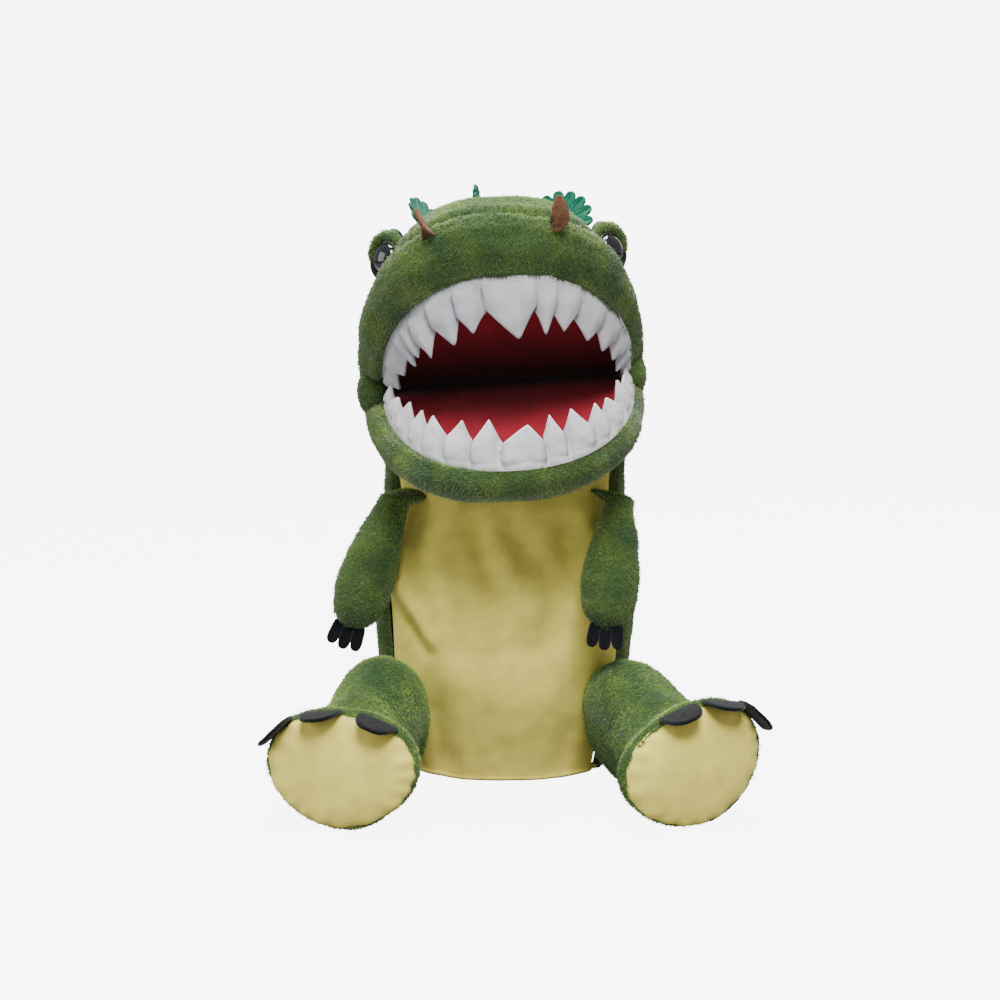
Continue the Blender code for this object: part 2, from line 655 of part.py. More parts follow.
def make_jaw(lower):
    levels = [0.0, 0.12, 0.26, 0.42, 0.58, 0.74, 0.88, 1.0]
    cover = add_object("jaw_cover", jaw_surface(CREASE, levels), lower, "plush_green")
    thicken(cover, PLUSH)
    core = shrunk(jaw_surface(CREASE, levels[1:]), PLUSH + FILL_SLACK)
    filling = add_object("jaw_filling", core, lower, "fibre_fill")
    floor_depth = BOARD + FELT + GAP * 4
    lid = block((-JAW_HALF_WIDTH, -JAW_FRONT * 1.1, -floor_depth), (JAW_HALF_WIDTH, 0.02, 0.02))
    cutter("jaw_board_room", filling, lid, lower)
    half = THUMB_POCKET.x / 2 + POCKET_SLACK
    thumb_room = block((-half, -THUMB_POCKET.y - POCKET_SLACK, -floor_depth - THUMB_POCKET.z
                        - POCKET_SLACK), (half, 0.02, 0.0))
    cutter("thumb_room", filling, thumb_room, lower)
    mouth_plate("lower_palate", MOUTH_HALF_WIDTH - TOOTH_FELT, LOWER_MOUTH_LENGTH - TOOTH_FELT, CREASE,
                FELT, -GAP - FELT, lower, "felt_red")
    mouth_plate("lower_mouth_board", MOUTH_HALF_WIDTH - BOARD_INSET, LOWER_MOUTH_LENGTH - BOARD_INSET,
                CREASE, BOARD, -FELT - BOARD - GAP * 2, lower, "board_grey")
    drop = Matrix.Translation((0, 0, -FELT - BOARD - GAP * 3 - THUMB_POCKET.z))
    thumb = pocket(THUMB_POCKET, -0.0050, drop)
    item = add_object("thumb_pocket", thumb, lower, "lining_grey")
    thicken(item, LINING)
    strip = teeth_strip(LOWER_TEETH, MOUTH_HALF_WIDTH, LOWER_MOUTH_LENGTH, 0.002,
                        LOWER_TOOTH_BAND, LOWER_TOOTH_LENGTH, math.radians(8), 1, False)
    bmesh.ops.translate(strip, vec=(0, 0, GAP), verts=strip.verts)
    teeth = add_object("lower_teeth", strip, lower, "felt_white")
    thicken(teeth, TOOTH_FELT)


# ---------------------------------------------------------------- limbs

def limb_ring(stop, sides, roll=0.0, inset=0.0, scale=1.0, floor=None):
    """Ring across a limb that runs along -Y, from (forward, half_width, half_height, taper, lean).

    Taper makes the top wider than the bottom. A floor height drops the ring onto it.
    """
    forward, half_width, half_height, taper, lean = stop
    points, lowest = [], 0.0
    for i in range(sides):
        a = 2 * math.pi * i / sides
        x = half_width * math.cos(a) * (1 + taper * math.sin(a))
        z = half_height * math.sin(a)
        lowest = min(lowest, z * math.cos(roll) - x * math.sin(roll))
        shrink_x = scale * (half_width - inset) / half_width
        shrink_z = scale * (half_height - inset) / half_height
        x, z = x * shrink_x, z * shrink_z
        points.append(Vector((x * math.cos(roll) + z * math.sin(roll), lean * z - forward,
                              z * math.cos(roll) - x * math.sin(roll))))
    lift = 0.0 if floor is None else floor - lowest
    return [p + Vector((0, 0, lift)) for p in points]


def claw(name, width, length, place, parent):
    """A leaf-shaped felt claw pointing along +Y of its frame."""
    steps = 6
    right = [(width / 2 * math.cos(math.pi / 2 * i / steps) ** 0.8,
              length * math.sin(math.pi / 2 * i / steps)) for i in range(steps)]
    outline = right + [(0.0, length)] + [(-x, y) for x, y in reversed(right)]
    add_object(name, slab(outline, FELT, place @ Matrix.Translation((0, 0, -FELT / 2))),
               parent, "felt_black")


def make_arm(tag, axis):
    """Arm hanging along -Z of its own frame, open at the shoulder seam."""
    down = Matrix.Rotation(math.radians(90), 4, "X")
    w, d, length = ARM_HALF_WIDTH, ARM_HALF_DEPTH, ARM_LENGTH
    stops = [(0.004, 0.55 * w, 0.75 * d, 0, 0), (0.20 * length, 0.74 * w, 0.95 * d, 0, 0),
             (0.45 * length, 0.94 * w, d, 0, 0), (0.68 * length, w, d, 0, 0),
             (0.86 * length, 0.84 * w, 0.82 * d, 0, 0), (0.96 * length, 0.56 * w, 0.52 * d, 0, 0),
             (length, 0.24 * w, 0.22 * d, 0, 0)]
    wall = PLUSH * 0.7
    for name, surface in (("arm_cover_", "plush_green"), ("arm_filling_", "fibre_fill")):
        builder = loft([limb_ring(stop, ARM_SIDES) for stop in stops], close_end=True)
        bmesh.ops.transform(builder, matrix=down, verts=builder.verts)
        if surface == "fibre_fill":
            shrunk(builder, wall + FILL_SLACK)
        item = add_object(name + tag, builder, axis, surface)
        if surface == "plush_green":
            thicken(item, wall)
    for number, step in enumerate((-1, 0, 1), 1):
        across = step * ARM_CLAW_SPACING
        tip = Vector((across, 0.0, -length - FELT / 2 + 0.001 * abs(step)))
        place = (Matrix.Translation(tip) @ Matrix.Rotation(math.radians(-14 * step), 4, "Y")
                 @ Matrix.Rotation(math.radians(-90), 4, "X"))
        claw("arm_claw_%s_%d" % (tag, number), ARM_CLAW_WIDTH, ARM_CLAW_LENGTH, place, axis)


def leg_stops():
    w, t, fw, fh = LEG_HALF_WIDTH, THIGH_HALF_HEIGHT, FOOT_HALF_WIDTH, FOOT_HALF_HEIGHT
    length, taper = LEG_LENGTH, FOOT_TAPER
    return [(0.04 * length, 0.42 * w, 0.46 * t, 0, 0), (0.11 * length, 0.74 * w, 0.74 * t, 0, 0),
            (0.22 * length, 0.95 * w, 0.95 * t, 0, 0), (0.37 * length, w, t, 0, 0),
            (0.56 * length, w, 0.88 * t, 0, 0), (0.72 * length, 0.98 * w, 0.80 * t, 0.3 * taper, 0),
            (0.84 * length, 0.88 * fw, 0.98 * fh, 0.7 * taper, 0.05),
            (0.95 * length, fw, 1.04 * fh, taper, 0.12), (length, 0.97 * fw, 0.98 * fh, taper, 0.17)]


def leg_rings(stops, roll):
    """Rings of a leg: the thigh hangs level round its pivot, the rest lies on the floor."""
    rings = []
    for stop in stops:
        ring = limb_ring(stop, LEG_SIDES, roll, floor=GAP)
        if stop[0] < 0.35 * LEG_LENGTH:
            middle = THIGH_HALF_HEIGHT + GAP
            lift = middle - sum(p.z for p in ring) / len(ring)
            ring = [p + Vector((0, 0, lift)) for p in ring]
        rings.append(ring)
    return rings


def make_leg(tag, axis, roll):
    """Leg along -Y of its own frame, rolled about its length, with a sole closing its end."""
    stops = leg_stops()
    cover = add_object("leg_cover_" + tag, loft(leg_rings(stops, roll), close_start=True), axis,
                       "plush_green")
    thicken(cover, PLUSH)
    back_a_little = [(stops[-1][0] - VELOUR, *stops[-1][1:])]
    core = shrunk(loft(leg_rings(stops[:-1] + back_a_little, roll), close_start=True),
                  PLUSH + FILL_SLACK)
    add_object("leg_filling_" + tag, core, axis, "fibre_fill")

    forward, *section = stops[-1]
    steps = [(1.0, GAP * 4), (1.0, VELOUR * 0.6), (0.95, VELOUR), (0.75, VELOUR + SOLE_BULGE * 0.6),
             (0.45, VELOUR + SOLE_BULGE * 0.9), (0.18, VELOUR + SOLE_BULGE)]
    rings = [limb_ring((forward + rise, *section), LEG_SIDES, roll, scale=scale, floor=GAP)
             for scale, rise in steps]
    add_object("sole_" + tag, loft(rings, True, True), axis, "velour_yellow")

    count = 120
    rim = limb_ring(stops[-1], count, roll, floor=GAP)
    middle = sum(rim, Vector()) / count
    for number, turn in enumerate((1, 0, -1), 1):
        i = round((90 + turn * FOOT_CLAW_SPREAD + 0.7 * math.degrees(roll)) * count / 360)
        out = (rim[i] - middle).normalized()
        tangent = (rim[i - 1] - rim[i + 1]).normalized()
        ahead = Vector((0, -1, 0)) + out * 0.12
        ahead = (ahead - tangent * ahead.dot(tangent)).normalized()
        normal = tangent.cross(ahead).normalized()
        normal = normal if normal.dot(out) > 0 else -normal
        tangent = ahead.cross(normal)
        base = rim[i] + normal * (FELT / 2 + SEAM * 2) + ahead * SEAM
        place = Matrix.Translation(base) @ Matrix((tangent, ahead, normal)).transposed().to_4x4()
        claw("leg_claw_%s_%d" % (tag, number), FOOT_CLAW_WIDTH, FOOT_CLAW_LENGTH, place, axis)


def make_tail(axis):
    """Tail along +Y of its own frame, open at the seam with the back panel."""
    w, h, length = TAIL_HALF_WIDTH, TAIL_HALF_HEIGHT, TAIL_LENGTH
    turn = Matrix.Rotation(math.pi, 4, "Z")
    stops = [(0.05 * length, 0.40 * w, 0.50 * h, 0, 0), (0.12 * length, 0.74 * w, 0.78 * h, 0, 0),
             (0.23 * length, 0.90 * w, 0.92 * h, 0, 0), (0.50 * length, 0.68 * w, 0.70 * h, 0, 0),
             (0.72 * length, 0.46 * w, 0.50 * h, 0, 0), (0.90 * length, 0.25 * w, 0.30 * h, 0, 0),
             (length, 0.08 * w, 0.12 * h, 0, 0)]
    wall = PLUSH * 0.6
    for name, surface in (("tail_cover", "plush_green"), ("tail_filling", "fibre_fill")):
        used = stops if surface == "plush_green" else stops[:-1]
        builder = loft([limb_ring(stop, ARM_SIDES, floor=GAP) for stop in used], close_end=True)
        bmesh.ops.transform(builder, matrix=turn, verts=builder.verts)
        if surface == "fibre_fill":
            shrunk(builder, wall + FILL_SLACK)
        item = add_object(name, builder, axis, surface)
        if surface == "plush_green":
            thicken(item, wall)


# ---------------------------------------------------------------- whole puppet

def centre_over_origin(root):
    """Moves the root so that the middle of the puppet's footprint is the origin."""
    bpy.context.view_layer.update()
    graph = bpy.context.evaluated_depsgraph_get()
    corners = []
    for item in bpy.context.scene.objects:
        if item.type == "MESH" and not item.hide_render:
            shape = item.evaluated_get(graph)
            corners += [item.matrix_world @ v.co for v in shape.data.vertices]
    for side in (0, 1):
        reach = [corner[side] for corner in corners]
        root.location[side] = -(min(reach) + max(reach)) / 2


def make_puppet():
    clear_scene()
    root = empty("puppet", None)
    make_torso(root)
    neck = empty("neck_axis", root, NECK_PIVOT)
    head = empty("head_axis", neck)
    mouth = empty("mouth_axis", head, HINGE - NECK_PIVOT, (0, HEAD_ROLL, HEAD_YAW))
    upper = empty("upper_jaw_frame", mouth, (0, 0, 0), (UPPER_TILT, UPPER_TWIST, 0))
    lower = empty("lower_jaw_frame", mouth, (0, 0, 0), (LOWER_TILT, LOWER_TWIST, 0))
    bpy.context.view_layer.update()
    make_neck(neck, (upper.matrix_world.copy(), lower.matrix_world.copy()))
    make_head(upper)
    make_jaw(lower)
    out = TORSO_HALF_WIDTH - SHOULDER_IN
    for tag, side, swing, lean in (("left", 1, -30, 8), ("right", -1, -12, 20)):
        make_arm(tag, empty("shoulder_" + tag, root, (side * out, -SHOULDER_FORWARD, SHOULDER_HEIGHT),
                            (math.radians(swing), math.radians(lean), 0)))
    for tag, side, turn, roll in (("left", 1, 24, -20), ("right", -1, -15, 2)):
        hip = empty("hip_" + tag, root, (side * HIP.x, HIP.y, 0), (0, 0, math.radians(turn)))
        make_leg(tag, hip, math.radians(roll))
    make_tail(empty("tail_axis", root, (0, TORSO_BACK - 0.004, 0)))
    centre_over_origin(root)


make_puppet()
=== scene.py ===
import math

import bpy
import numpy as np
from mathutils import Matrix, Vector


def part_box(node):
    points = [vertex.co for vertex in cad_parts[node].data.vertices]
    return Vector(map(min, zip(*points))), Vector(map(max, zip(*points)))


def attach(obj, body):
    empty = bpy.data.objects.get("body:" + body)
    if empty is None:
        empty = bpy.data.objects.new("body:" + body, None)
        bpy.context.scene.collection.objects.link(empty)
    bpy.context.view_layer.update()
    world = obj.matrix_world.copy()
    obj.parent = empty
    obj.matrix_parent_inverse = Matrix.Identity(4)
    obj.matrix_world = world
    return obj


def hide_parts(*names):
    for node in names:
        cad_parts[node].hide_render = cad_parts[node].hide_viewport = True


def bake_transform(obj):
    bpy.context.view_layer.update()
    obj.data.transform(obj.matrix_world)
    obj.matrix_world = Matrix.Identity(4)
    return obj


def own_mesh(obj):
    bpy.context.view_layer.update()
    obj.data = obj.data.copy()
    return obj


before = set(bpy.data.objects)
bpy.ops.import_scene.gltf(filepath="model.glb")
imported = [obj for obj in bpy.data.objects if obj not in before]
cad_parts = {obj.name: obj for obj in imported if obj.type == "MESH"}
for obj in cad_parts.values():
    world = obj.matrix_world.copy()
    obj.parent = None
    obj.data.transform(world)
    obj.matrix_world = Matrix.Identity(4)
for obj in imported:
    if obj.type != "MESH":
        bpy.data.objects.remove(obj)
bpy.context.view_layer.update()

# ------------------------------------------------------------ sizes shared with the CAD part
low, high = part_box("body_back")
LABEL_BEHIND_MIDDLE = 0.0442
MIDDLE = np.array([(low.x + high.x) / 2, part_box("care_label")[1].y - LABEL_BEHIND_MIDDLE, 0.0])
TORSO_HEIGHT = 0.176
HINGE = MIDDLE + np.array([-0.0015, -0.0200, TORSO_HEIGHT + 0.0570])
HEAD_ROLL, HEAD_YAW = math.radians(-4.0), math.radians(2.0)
UPPER_TILT, UPPER_TWIST = math.radians(-35.0), math.radians(0.5)
LOWER_TILT, LOWER_TWIST = math.radians(22.0), math.radians(-0.3)
HEAD_HALF_WIDTH, HEAD_FRONT, HEAD_BACK, HEAD_HEIGHT = 0.0860, 0.1290, 0.0760, 0.0800
MOUTH_HALF_WIDTH, UPPER_MOUTH_LENGTH, LOWER_MOUTH_LENGTH = 0.0730, 0.1080, 0.1020
JAW_HALF_WIDTH, JAW_FRONT, JAW_DEPTH = 0.0830, 0.1100, 0.0320
EYE_LEVEL, EYE_ANGLE = 0.46, math.radians(-35)
HORN_LEVEL = 0.30
BELLY_HALF_ANGLE = math.radians(60)

# ------------------------------------------------------------ sizes of the skins alone
# least heights over the floor, of any point, of nap, of a sole and of a plush skin
FLOOR_CLEARANCE, NAP_FLOOR, SOLE_FLOOR, SKIN_FLOOR = 0.0003, 0.0004, 0.0008, 0.0016
MOUTH_SHIFT, MOUTH_SHRINK = 0.0030, 0.962
LIP_INSET = 0.001
SEAM = 0.004
FELT_AND_BOARD = 0.0052
# spacing, length and width of each green piece's tufts
NAP = {"head": (0.00105, 0.0024, 0.00062), "jaw": (0.00100, 0.0024, 0.00060),
       "cheek": (0.00100, 0.0023, 0.00060), "back": (0.00108, 0.0025, 0.00064),
       "arm": (0.00098, 0.0024, 0.00060), "leg": (0.00102, 0.0024, 0.00062),
       "tail": (0.00108, 0.0025, 0.00064), "brow": (0.00090, 0.0021, 0.00056)}
NAP_LEAN, BROW_NAP_LEAN = 0.38, 0.6


def turn(x, y, z):
    """Rotation matrix for Euler angles taken in X, Y, Z order."""
    return Matrix.Rotation(z, 3, "Z") @ Matrix.Rotation(y, 3, "Y") @ Matrix.Rotation(x, 3, "X")


MOUTH = np.array(turn(0, HEAD_ROLL, HEAD_YAW))
UPPER = MOUTH @ np.array(turn(UPPER_TILT, UPPER_TWIST, 0))
LOWER = MOUTH @ np.array(turn(LOWER_TILT, LOWER_TWIST, 0))


def placed(points, rotation, origin=HINGE):
    return points @ rotation.T + origin


def moved(points, matrix):
    """Points carried by a 4x4 matrix."""
    return points @ np.array(matrix.to_3x3()).T + np.array(matrix.translation)


# ------------------------------------------------------------ numbers

def curve(values, t):
    """Smooth value at t (0 to 1) through evenly spaced values."""
    values = np.asarray(values, float)
    last = len(values) - 1
    place = np.clip(np.asarray(t, float), 0, 1) * last
    i = np.minimum(place.astype(int), last - 1)
    f = place - i
    before, a = values[np.maximum(i - 1, 0)], values[i]
    b, after = values[i + 1], values[np.minimum(i + 2, last)]
    return a + 0.5 * f * (b - before + f * (2 * before - 5 * a + 4 * b - after
                                            + f * (3 * (a - b) + after - before)))


def signed_power(value, power):
    return np.sign(value) * np.abs(value) ** power


def egg(angle, half_width, front, back, squareness):
    """Rounded outline; angle 0 is +X and -90 degrees is the front (-Y)."""
    power = 2.0 / squareness
    reach = np.where(np.sin(angle) < 0, front, back)
    return half_width * signed_power(np.cos(angle), power), reach * signed_power(np.sin(angle), power)


def rough(points, scale, seed=0):
    """Smooth random value from -1 to 1 at each point, with lumps about scale across."""
    p = np.asarray(points, float) / scale + 37.3 * (seed + 1)
    cell = np.floor(p).astype(np.int64)
    f = p - cell
    f = f * f * (3 - 2 * f)
    total = 0.0
    for corner in range(8):
        step = np.array([corner & 1, (corner >> 1) & 1, (corner >> 2) & 1])
        x, y, z = np.moveaxis(cell + step, -1, 0)
        h = (x * 73856093) ^ (y * 19349663) ^ (z * 83492791) ^ (seed * 2654435761 + 12345)
        h = ((h ^ (h >> 13)) * 1274126177) & 0xFFFFFFFF
        h = ((h ^ (h >> 16)) * 668265263) & 0xFFFFFFFF
        value = ((h >> 8) & 0xFFFF) / 32767.5 - 1.0
        share = np.where(step == 1, f, 1 - f).prod(-1)
        total = total + value * share
    return total


def circle(count):
    """Angles spread evenly round a full turn."""
    return np.linspace(0, 2 * math.pi, count, endpoint=False)


def unit(v):
    return v / np.maximum(np.linalg.norm(v, axis=-1, keepdims=True), 1e-12)


def smoothstep(low, high, x):
    t = np.clip((x - low) / (high - low), 0, 1)
    return t * t * (3 - 2 * t)


# ------------------------------------------------------------ grids

class Grid:
    """A surface as rows of points. Rows follow each other; points run round or along a row."""

    def __init__(self, points, closed):
        self.points = np.asarray(points, float)
        self.closed = closed

    def slopes(self):
        p = self.points
        if self.closed:
            across = (np.roll(p, -1, 1) - np.roll(p, 1, 1)) / 2
        else:
            across = np.gradient(p, axis=1)
        return across, np.gradient(p, axis=0)

    def normals(self):
        across, along = self.slopes()
        normal = unit(np.cross(across, along))
        outward = (normal * (self.points - self.points.reshape(-1, 3).mean(0))).sum()
        return normal if outward > 0 else -normal

    def pushed(self, amount):
        """The same grid moved along its normals."""
        return Grid(self.points + self.normals() * np.asarray(amount)[..., None], self.closed)

    def soft(self, amount=0.0010, seed=0):
        """Lumps that stuffing leaves in plush."""
        p = self.points
        return self.pushed(amount * (rough(p, 0.028, seed) + 0.5 * rough(p, 0.012, seed + 1)))


def grid_faces(rows, count, closed):
    i = np.arange(rows - 1)[:, None]
    j = np.arange(count if closed else count - 1)[None, :]
    k = (j + 1) % count
    corners = [i * count + j, i * count + k, (i + 1) * count + k, (i + 1) * count + j]
    return np.stack(corners, -1).reshape(-1, 4)


def mesh_object(name, verts, faces, uvs, tips):
    """Mesh from numpy: faces is a list of arrays of equal-length faces; uvs and tips are one per vertex."""
    mesh = bpy.data.meshes.new(name)
    loops = np.concatenate([f.ravel() for f in faces])
    sizes = np.concatenate([np.full(len(f), f.shape[1]) for f in faces])
    mesh.vertices.add(len(verts))
    mesh.vertices.foreach_set("co", np.asarray(verts, np.float32).ravel())
    mesh.loops.add(len(loops))
    mesh.loops.foreach_set("vertex_index", loops.astype(np.int32))
    mesh.polygons.add(len(sizes))
    starts = np.concatenate([[0], np.cumsum(sizes)[:-1]])
    mesh.polygons.foreach_set("loop_start", starts.astype(np.int32))
    mesh.polygons.foreach_set("use_smooth", np.ones(len(sizes), bool))
    mesh.update(calc_edges=True)
    layer = mesh.uv_layers.new(name="OFBake")
    layer.data.foreach_set("uv", np.asarray(uvs, np.float32)[loops].ravel())
    tone = mesh.attributes.new("tip", "FLOAT", "POINT")
    tone.data.foreach_set("value", tips.astype(np.float32))
    mesh.validate()
    item = bpy.data.objects.new(name, mesh)
    bpy.context.scene.collection.objects.link(item)
    return item


def grid_uv(rows, count):
    """Even spread over the square, kept off its edges."""
    u = np.linspace(0.01, 0.99, count)
    v = np.linspace(0.01, 0.99, rows)
    vv, uu = np.meshgrid(v, u, indexing="ij")
    return np.stack([uu, vv], -1)


def pile(grid, nap, flow, seed, lean=NAP_LEAN, keep=None):
    """Tapered tufts of nap all over a grid: (verts, faces, uvs, tips)."""
    spacing, length, width = nap
    rng = np.random.default_rng(seed)
    p, n = grid.points, grid.normals()
    uv = grid_uv(*p.shape[:2])
    if grid.closed:
        p, n = np.concatenate([p, p[:, :1]], 1), np.concatenate([n, n[:, :1]], 1)
        uv = np.concatenate([uv, uv[:, -1:]], 1)
    a, b, c, d = p[:-1, :-1], p[:-1, 1:], p[1:, 1:], p[1:, :-1]
    area = 0.5 * np.linalg.norm(np.cross(c - a, d - b), axis=-1)
    if keep is not None:
        centre = (a + b + c + d) / 4
        area = area * keep(centre)
    number = rng.poisson(area / spacing ** 2)
    row, col = np.nonzero(number)
    times = number[row, col]
    row, col = np.repeat(row, times), np.repeat(col, times)
    s, t = rng.random(len(row))[:, None], rng.random(len(row))[:, None]

    def mix(q):
        return ((1 - s) * (1 - t) * q[row, col] + s * (1 - t) * q[row, col + 1]
                + s * t * q[row + 1, col + 1] + (1 - s) * t * q[row + 1, col])

    root, normal, place = mix(p), unit(mix(n)), mix(uv)
    along = flow(root, normal)
    along = unit(along - normal * (along * normal).sum(-1, keepdims=True))
    side = np.cross(normal, along)
    swing = (0.9 * rough(root, 0.014, seed + 3) + 0.45 * rng.standard_normal(len(root)))[:, None]
    along, side = (along * np.cos(swing) + side * np.sin(swing),
                   side * np.cos(swing) - along * np.sin(swing))
    size = (length * (0.72 + 0.5 * rng.random(len(root)))
            * (1 + 0.25 * rough(root, 0.009, seed + 5)))[:, None]
    rise = np.clip(lean + 0.16 * rng.standard_normal(len(root)), 0.15, 1.3)[:, None]
    tip = root + size * (along * np.cos(rise) + normal * np.sin(rise))
    half = width / 2
    base = root - normal * 0.0006
    first, second = base - side * half, base + side * half
    third = base + normal * half * 1.6 - along * half
    verts = np.stack([first, second, third, tip], 1).reshape(-1, 3)
    k = (np.arange(len(root)) * 4)[:, None]
    faces = np.concatenate([k + np.array([corners]) for corners in ((0, 1, 3), (1, 2, 3), (2, 0, 3))])
    uvs = np.repeat(place, 4, axis=0)
    tips = np.tile([0.0, 0.0, 0.15, 1.0], len(root)) * np.repeat(0.7 + 0.3 * rng.random(len(root)), 4)
    return verts, faces, uvs, tips


def covered(name, grid, hair=None, glow=None):
    """One object from a grid and its nap; glow sets the grid's own tip values, which the palate and teeth
    felts turn into painted shade.
    """
    rows, count = grid.points.shape[:2]
    verts, uvs = [grid.points.reshape(-1, 3)], [grid_uv(rows, count).reshape(-1, 2)]
    faces = [grid_faces(rows, count, grid.closed)]
    tips = [np.zeros(rows * count) if glow is None else glow]
    if hair is not None:
        verts.append(hair[0])
        faces.append(hair[1] + rows * count)
        uvs.append(hair[2])
        tips.append(hair[3])
    points = np.concatenate(verts)
    points[:, 2] = np.maximum(points[:, 2], FLOOR_CLEARANCE)
    return mesh_object(name, points, faces, np.concatenate(uvs), np.concatenate(tips))


def steady(direction):
    """A flow for nap that runs one way all over."""
    return lambda root, normal: np.broadcast_to(np.array(direction, float), root.shape)


DOWN = steady((0.0, -0.15, -1.0))

# ------------------------------------------------------------ materials

def material(name, build, roughness=0.95):
    made = bpy.data.materials.new(name)
    made.use_nodes = True
    nodes, links = made.node_tree.nodes, made.node_tree.links
    shader = nodes["Principled BSDF"]
    shader.inputs["Roughness"].default_value = roughness
    build(nodes, links, shader)
    return made


def grey(level):
    return (level, level, level)


def noise_node(nodes, links, scale, detail=3.0, stretch=None):
    where = nodes.new("ShaderNodeTexCoord")
    texture = nodes.new("ShaderNodeTexNoise")
    texture.inputs["Scale"].default_value = scale
    texture.inputs["Detail"].default_value = detail
    if stretch is None:
        links.new(where.outputs["Object"], texture.inputs["Vector"])
    else:
        mapping = nodes.new("ShaderNodeMapping")
        mapping.inputs["Scale"].default_value = stretch
        links.new(where.outputs["Object"], mapping.inputs["Vector"])
        links.new(mapping.outputs["Vector"], texture.inputs["Vector"])
    return texture


def ramp_node(nodes, links, source, stops):
    ramp = nodes.new("ShaderNodeValToRGB")
    elements = ramp.color_ramp.elements
    while len(elements) < len(stops):
        elements.new(0.5)
    for element, (position, colour) in zip(elements, stops):
        element.position = position
        element.color = (*colour, 1.0)
    links.new(source, ramp.inputs["Fac"])
    return ramp


def mixed(nodes, links, mode, factor, first, second):
    mix = nodes.new("ShaderNodeMix")
    mix.data_type = "RGBA"
    mix.blend_type = mode
    if isinstance(factor, float):
        mix.inputs[0].default_value = factor
    else:
        links.new(factor, mix.inputs[0])
    links.new(first, mix.inputs[6])
    links.new(second, mix.inputs[7])
    return mix.outputs[2]


def multiplied(nodes, links, first, second):
    return mixed(nodes, links, "MULTIPLY", 1.0, first, second)


def bump(nodes, links, shader, height, strength, distance):
    node = nodes.new("ShaderNodeBump")
    node.inputs["Strength"].default_value = strength
    node.inputs["Distance"].default_value = distance
    links.new(height, node.inputs["Height"])
    links.new(node.outputs["Normal"], shader.inputs["Normal"])


def pile_look(root_colour, tip_colour, pale, dark):
    """Nap that is dark at its roots and light at its tips, in soft patches."""
    def build(nodes, links, shader):
        tip = nodes.new("ShaderNodeAttribute")
        tip.attribute_name = "tip"
        depth = ramp_node(nodes, links, tip.outputs["Fac"], [(0.0, root_colour), (0.85, tip_colour)])
        patches = noise_node(nodes, links, 45.0, 4.0)
        tone = ramp_node(nodes, links, patches.outputs["Fac"], [(0.34, dark), (0.66, pale)])
        fine = noise_node(nodes, links, 420.0, 2.0)
        grain = ramp_node(nodes, links, fine.outputs["Fac"], [(0.3, grey(0.80)), (0.7, (1.15, 1.15, 1.12))])
        colour = multiplied(nodes, links, depth.outputs["Color"], tone.outputs["Color"])
        colour = multiplied(nodes, links, colour, grain.outputs["Color"])
        links.new(colour, shader.inputs["Base Color"])
        shader.inputs["Sheen Weight"].default_value = 0.25
        shader.inputs["Sheen Roughness"].default_value = 0.5
        shader.inputs["Specular IOR Level"].default_value = 0.15
    return build


def felt_look(colour, spread=0.18, fuzz=1500.0, depth=0.35, shaded=False, pleated=False):
    """Matted fibres. The tip attribute darkens the felt with painted shade: deep down (shaded) or beside a
    fold (pleated).
    """
    def build(nodes, links, shader):
        fibres = noise_node(nodes, links, fuzz, 4.0, (1.0, 1.6, 0.7))
        less, more = [tuple(c * (1 + k * spread) for c in colour) for k in (-1, 1)]
        tone = ramp_node(nodes, links, fibres.outputs["Fac"], [(0.3, less), (0.7, more)])
        patches = noise_node(nodes, links, 90.0, 3.0)
        shade = ramp_node(nodes, links, patches.outputs["Fac"], [(0.3, grey(0.86)), (0.7, grey(1.08))])
        result = multiplied(nodes, links, tone.outputs["Color"], shade.outputs["Color"])
        # painted shade: a low tip value darkens the colour, to near black when shaded and to 0.40 when
        # pleated
        if shaded or pleated:
            tip = nodes.new("ShaderNodeAttribute")
            tip.attribute_name = "tip"
            least = 0.05 if shaded else 0.40
            depth_tone = ramp_node(nodes, links, tip.outputs["Fac"],
                                   [(0.0, (least, least, least * 1.1)), (1.0, grey(1.0))])
            result = multiplied(nodes, links, result, depth_tone.outputs["Color"])
        links.new(result, shader.inputs["Base Color"])
        shader.inputs["Sheen Weight"].default_value = 0.15
        shader.inputs["Specular IOR Level"].default_value = 0.15
        bump(nodes, links, shader, fibres.outputs["Fac"], depth, 0.0006)
    return build


def gloss_look(colour):
    def build(nodes, links, shader):
        specks = noise_node(nodes, links, 300.0, 2.0)
        less, more = tuple(c * 0.9 for c in colour), tuple(c * 1.1 for c in colour)
        tone = ramp_node(nodes, links, specks.outputs["Fac"], [(0.3, less), (0.7, more)])
        links.new(tone.outputs["Color"], shader.inputs["Base Color"])
        shader.inputs["Coat Weight"].default_value = 0.6
        shader.inputs["Coat Roughness"].default_value = 0.03
    return build


def weave_look(colour):
    def build(nodes, links, shader):
        where = nodes.new("ShaderNodeTexCoord")
        total = None
        for axis in ("X", "Z"):
            wave = nodes.new("ShaderNodeTexWave")
            wave.bands_direction = axis
            wave.inputs["Scale"].default_value = 420.0
            links.new(where.outputs["Object"], wave.inputs["Vector"])
            total = wave.outputs["Color"] if total is None else mixed(
                nodes, links, "ADD", 0.5, total, wave.outputs["Color"])
        tone = ramp_node(nodes, links, total, [(0.1, tuple(c * 0.75 for c in colour)), (0.9, colour)])
        links.new(tone.outputs["Color"], shader.inputs["Base Color"])
        bump(nodes, links, shader, total, 0.3, 0.0003)
    return build


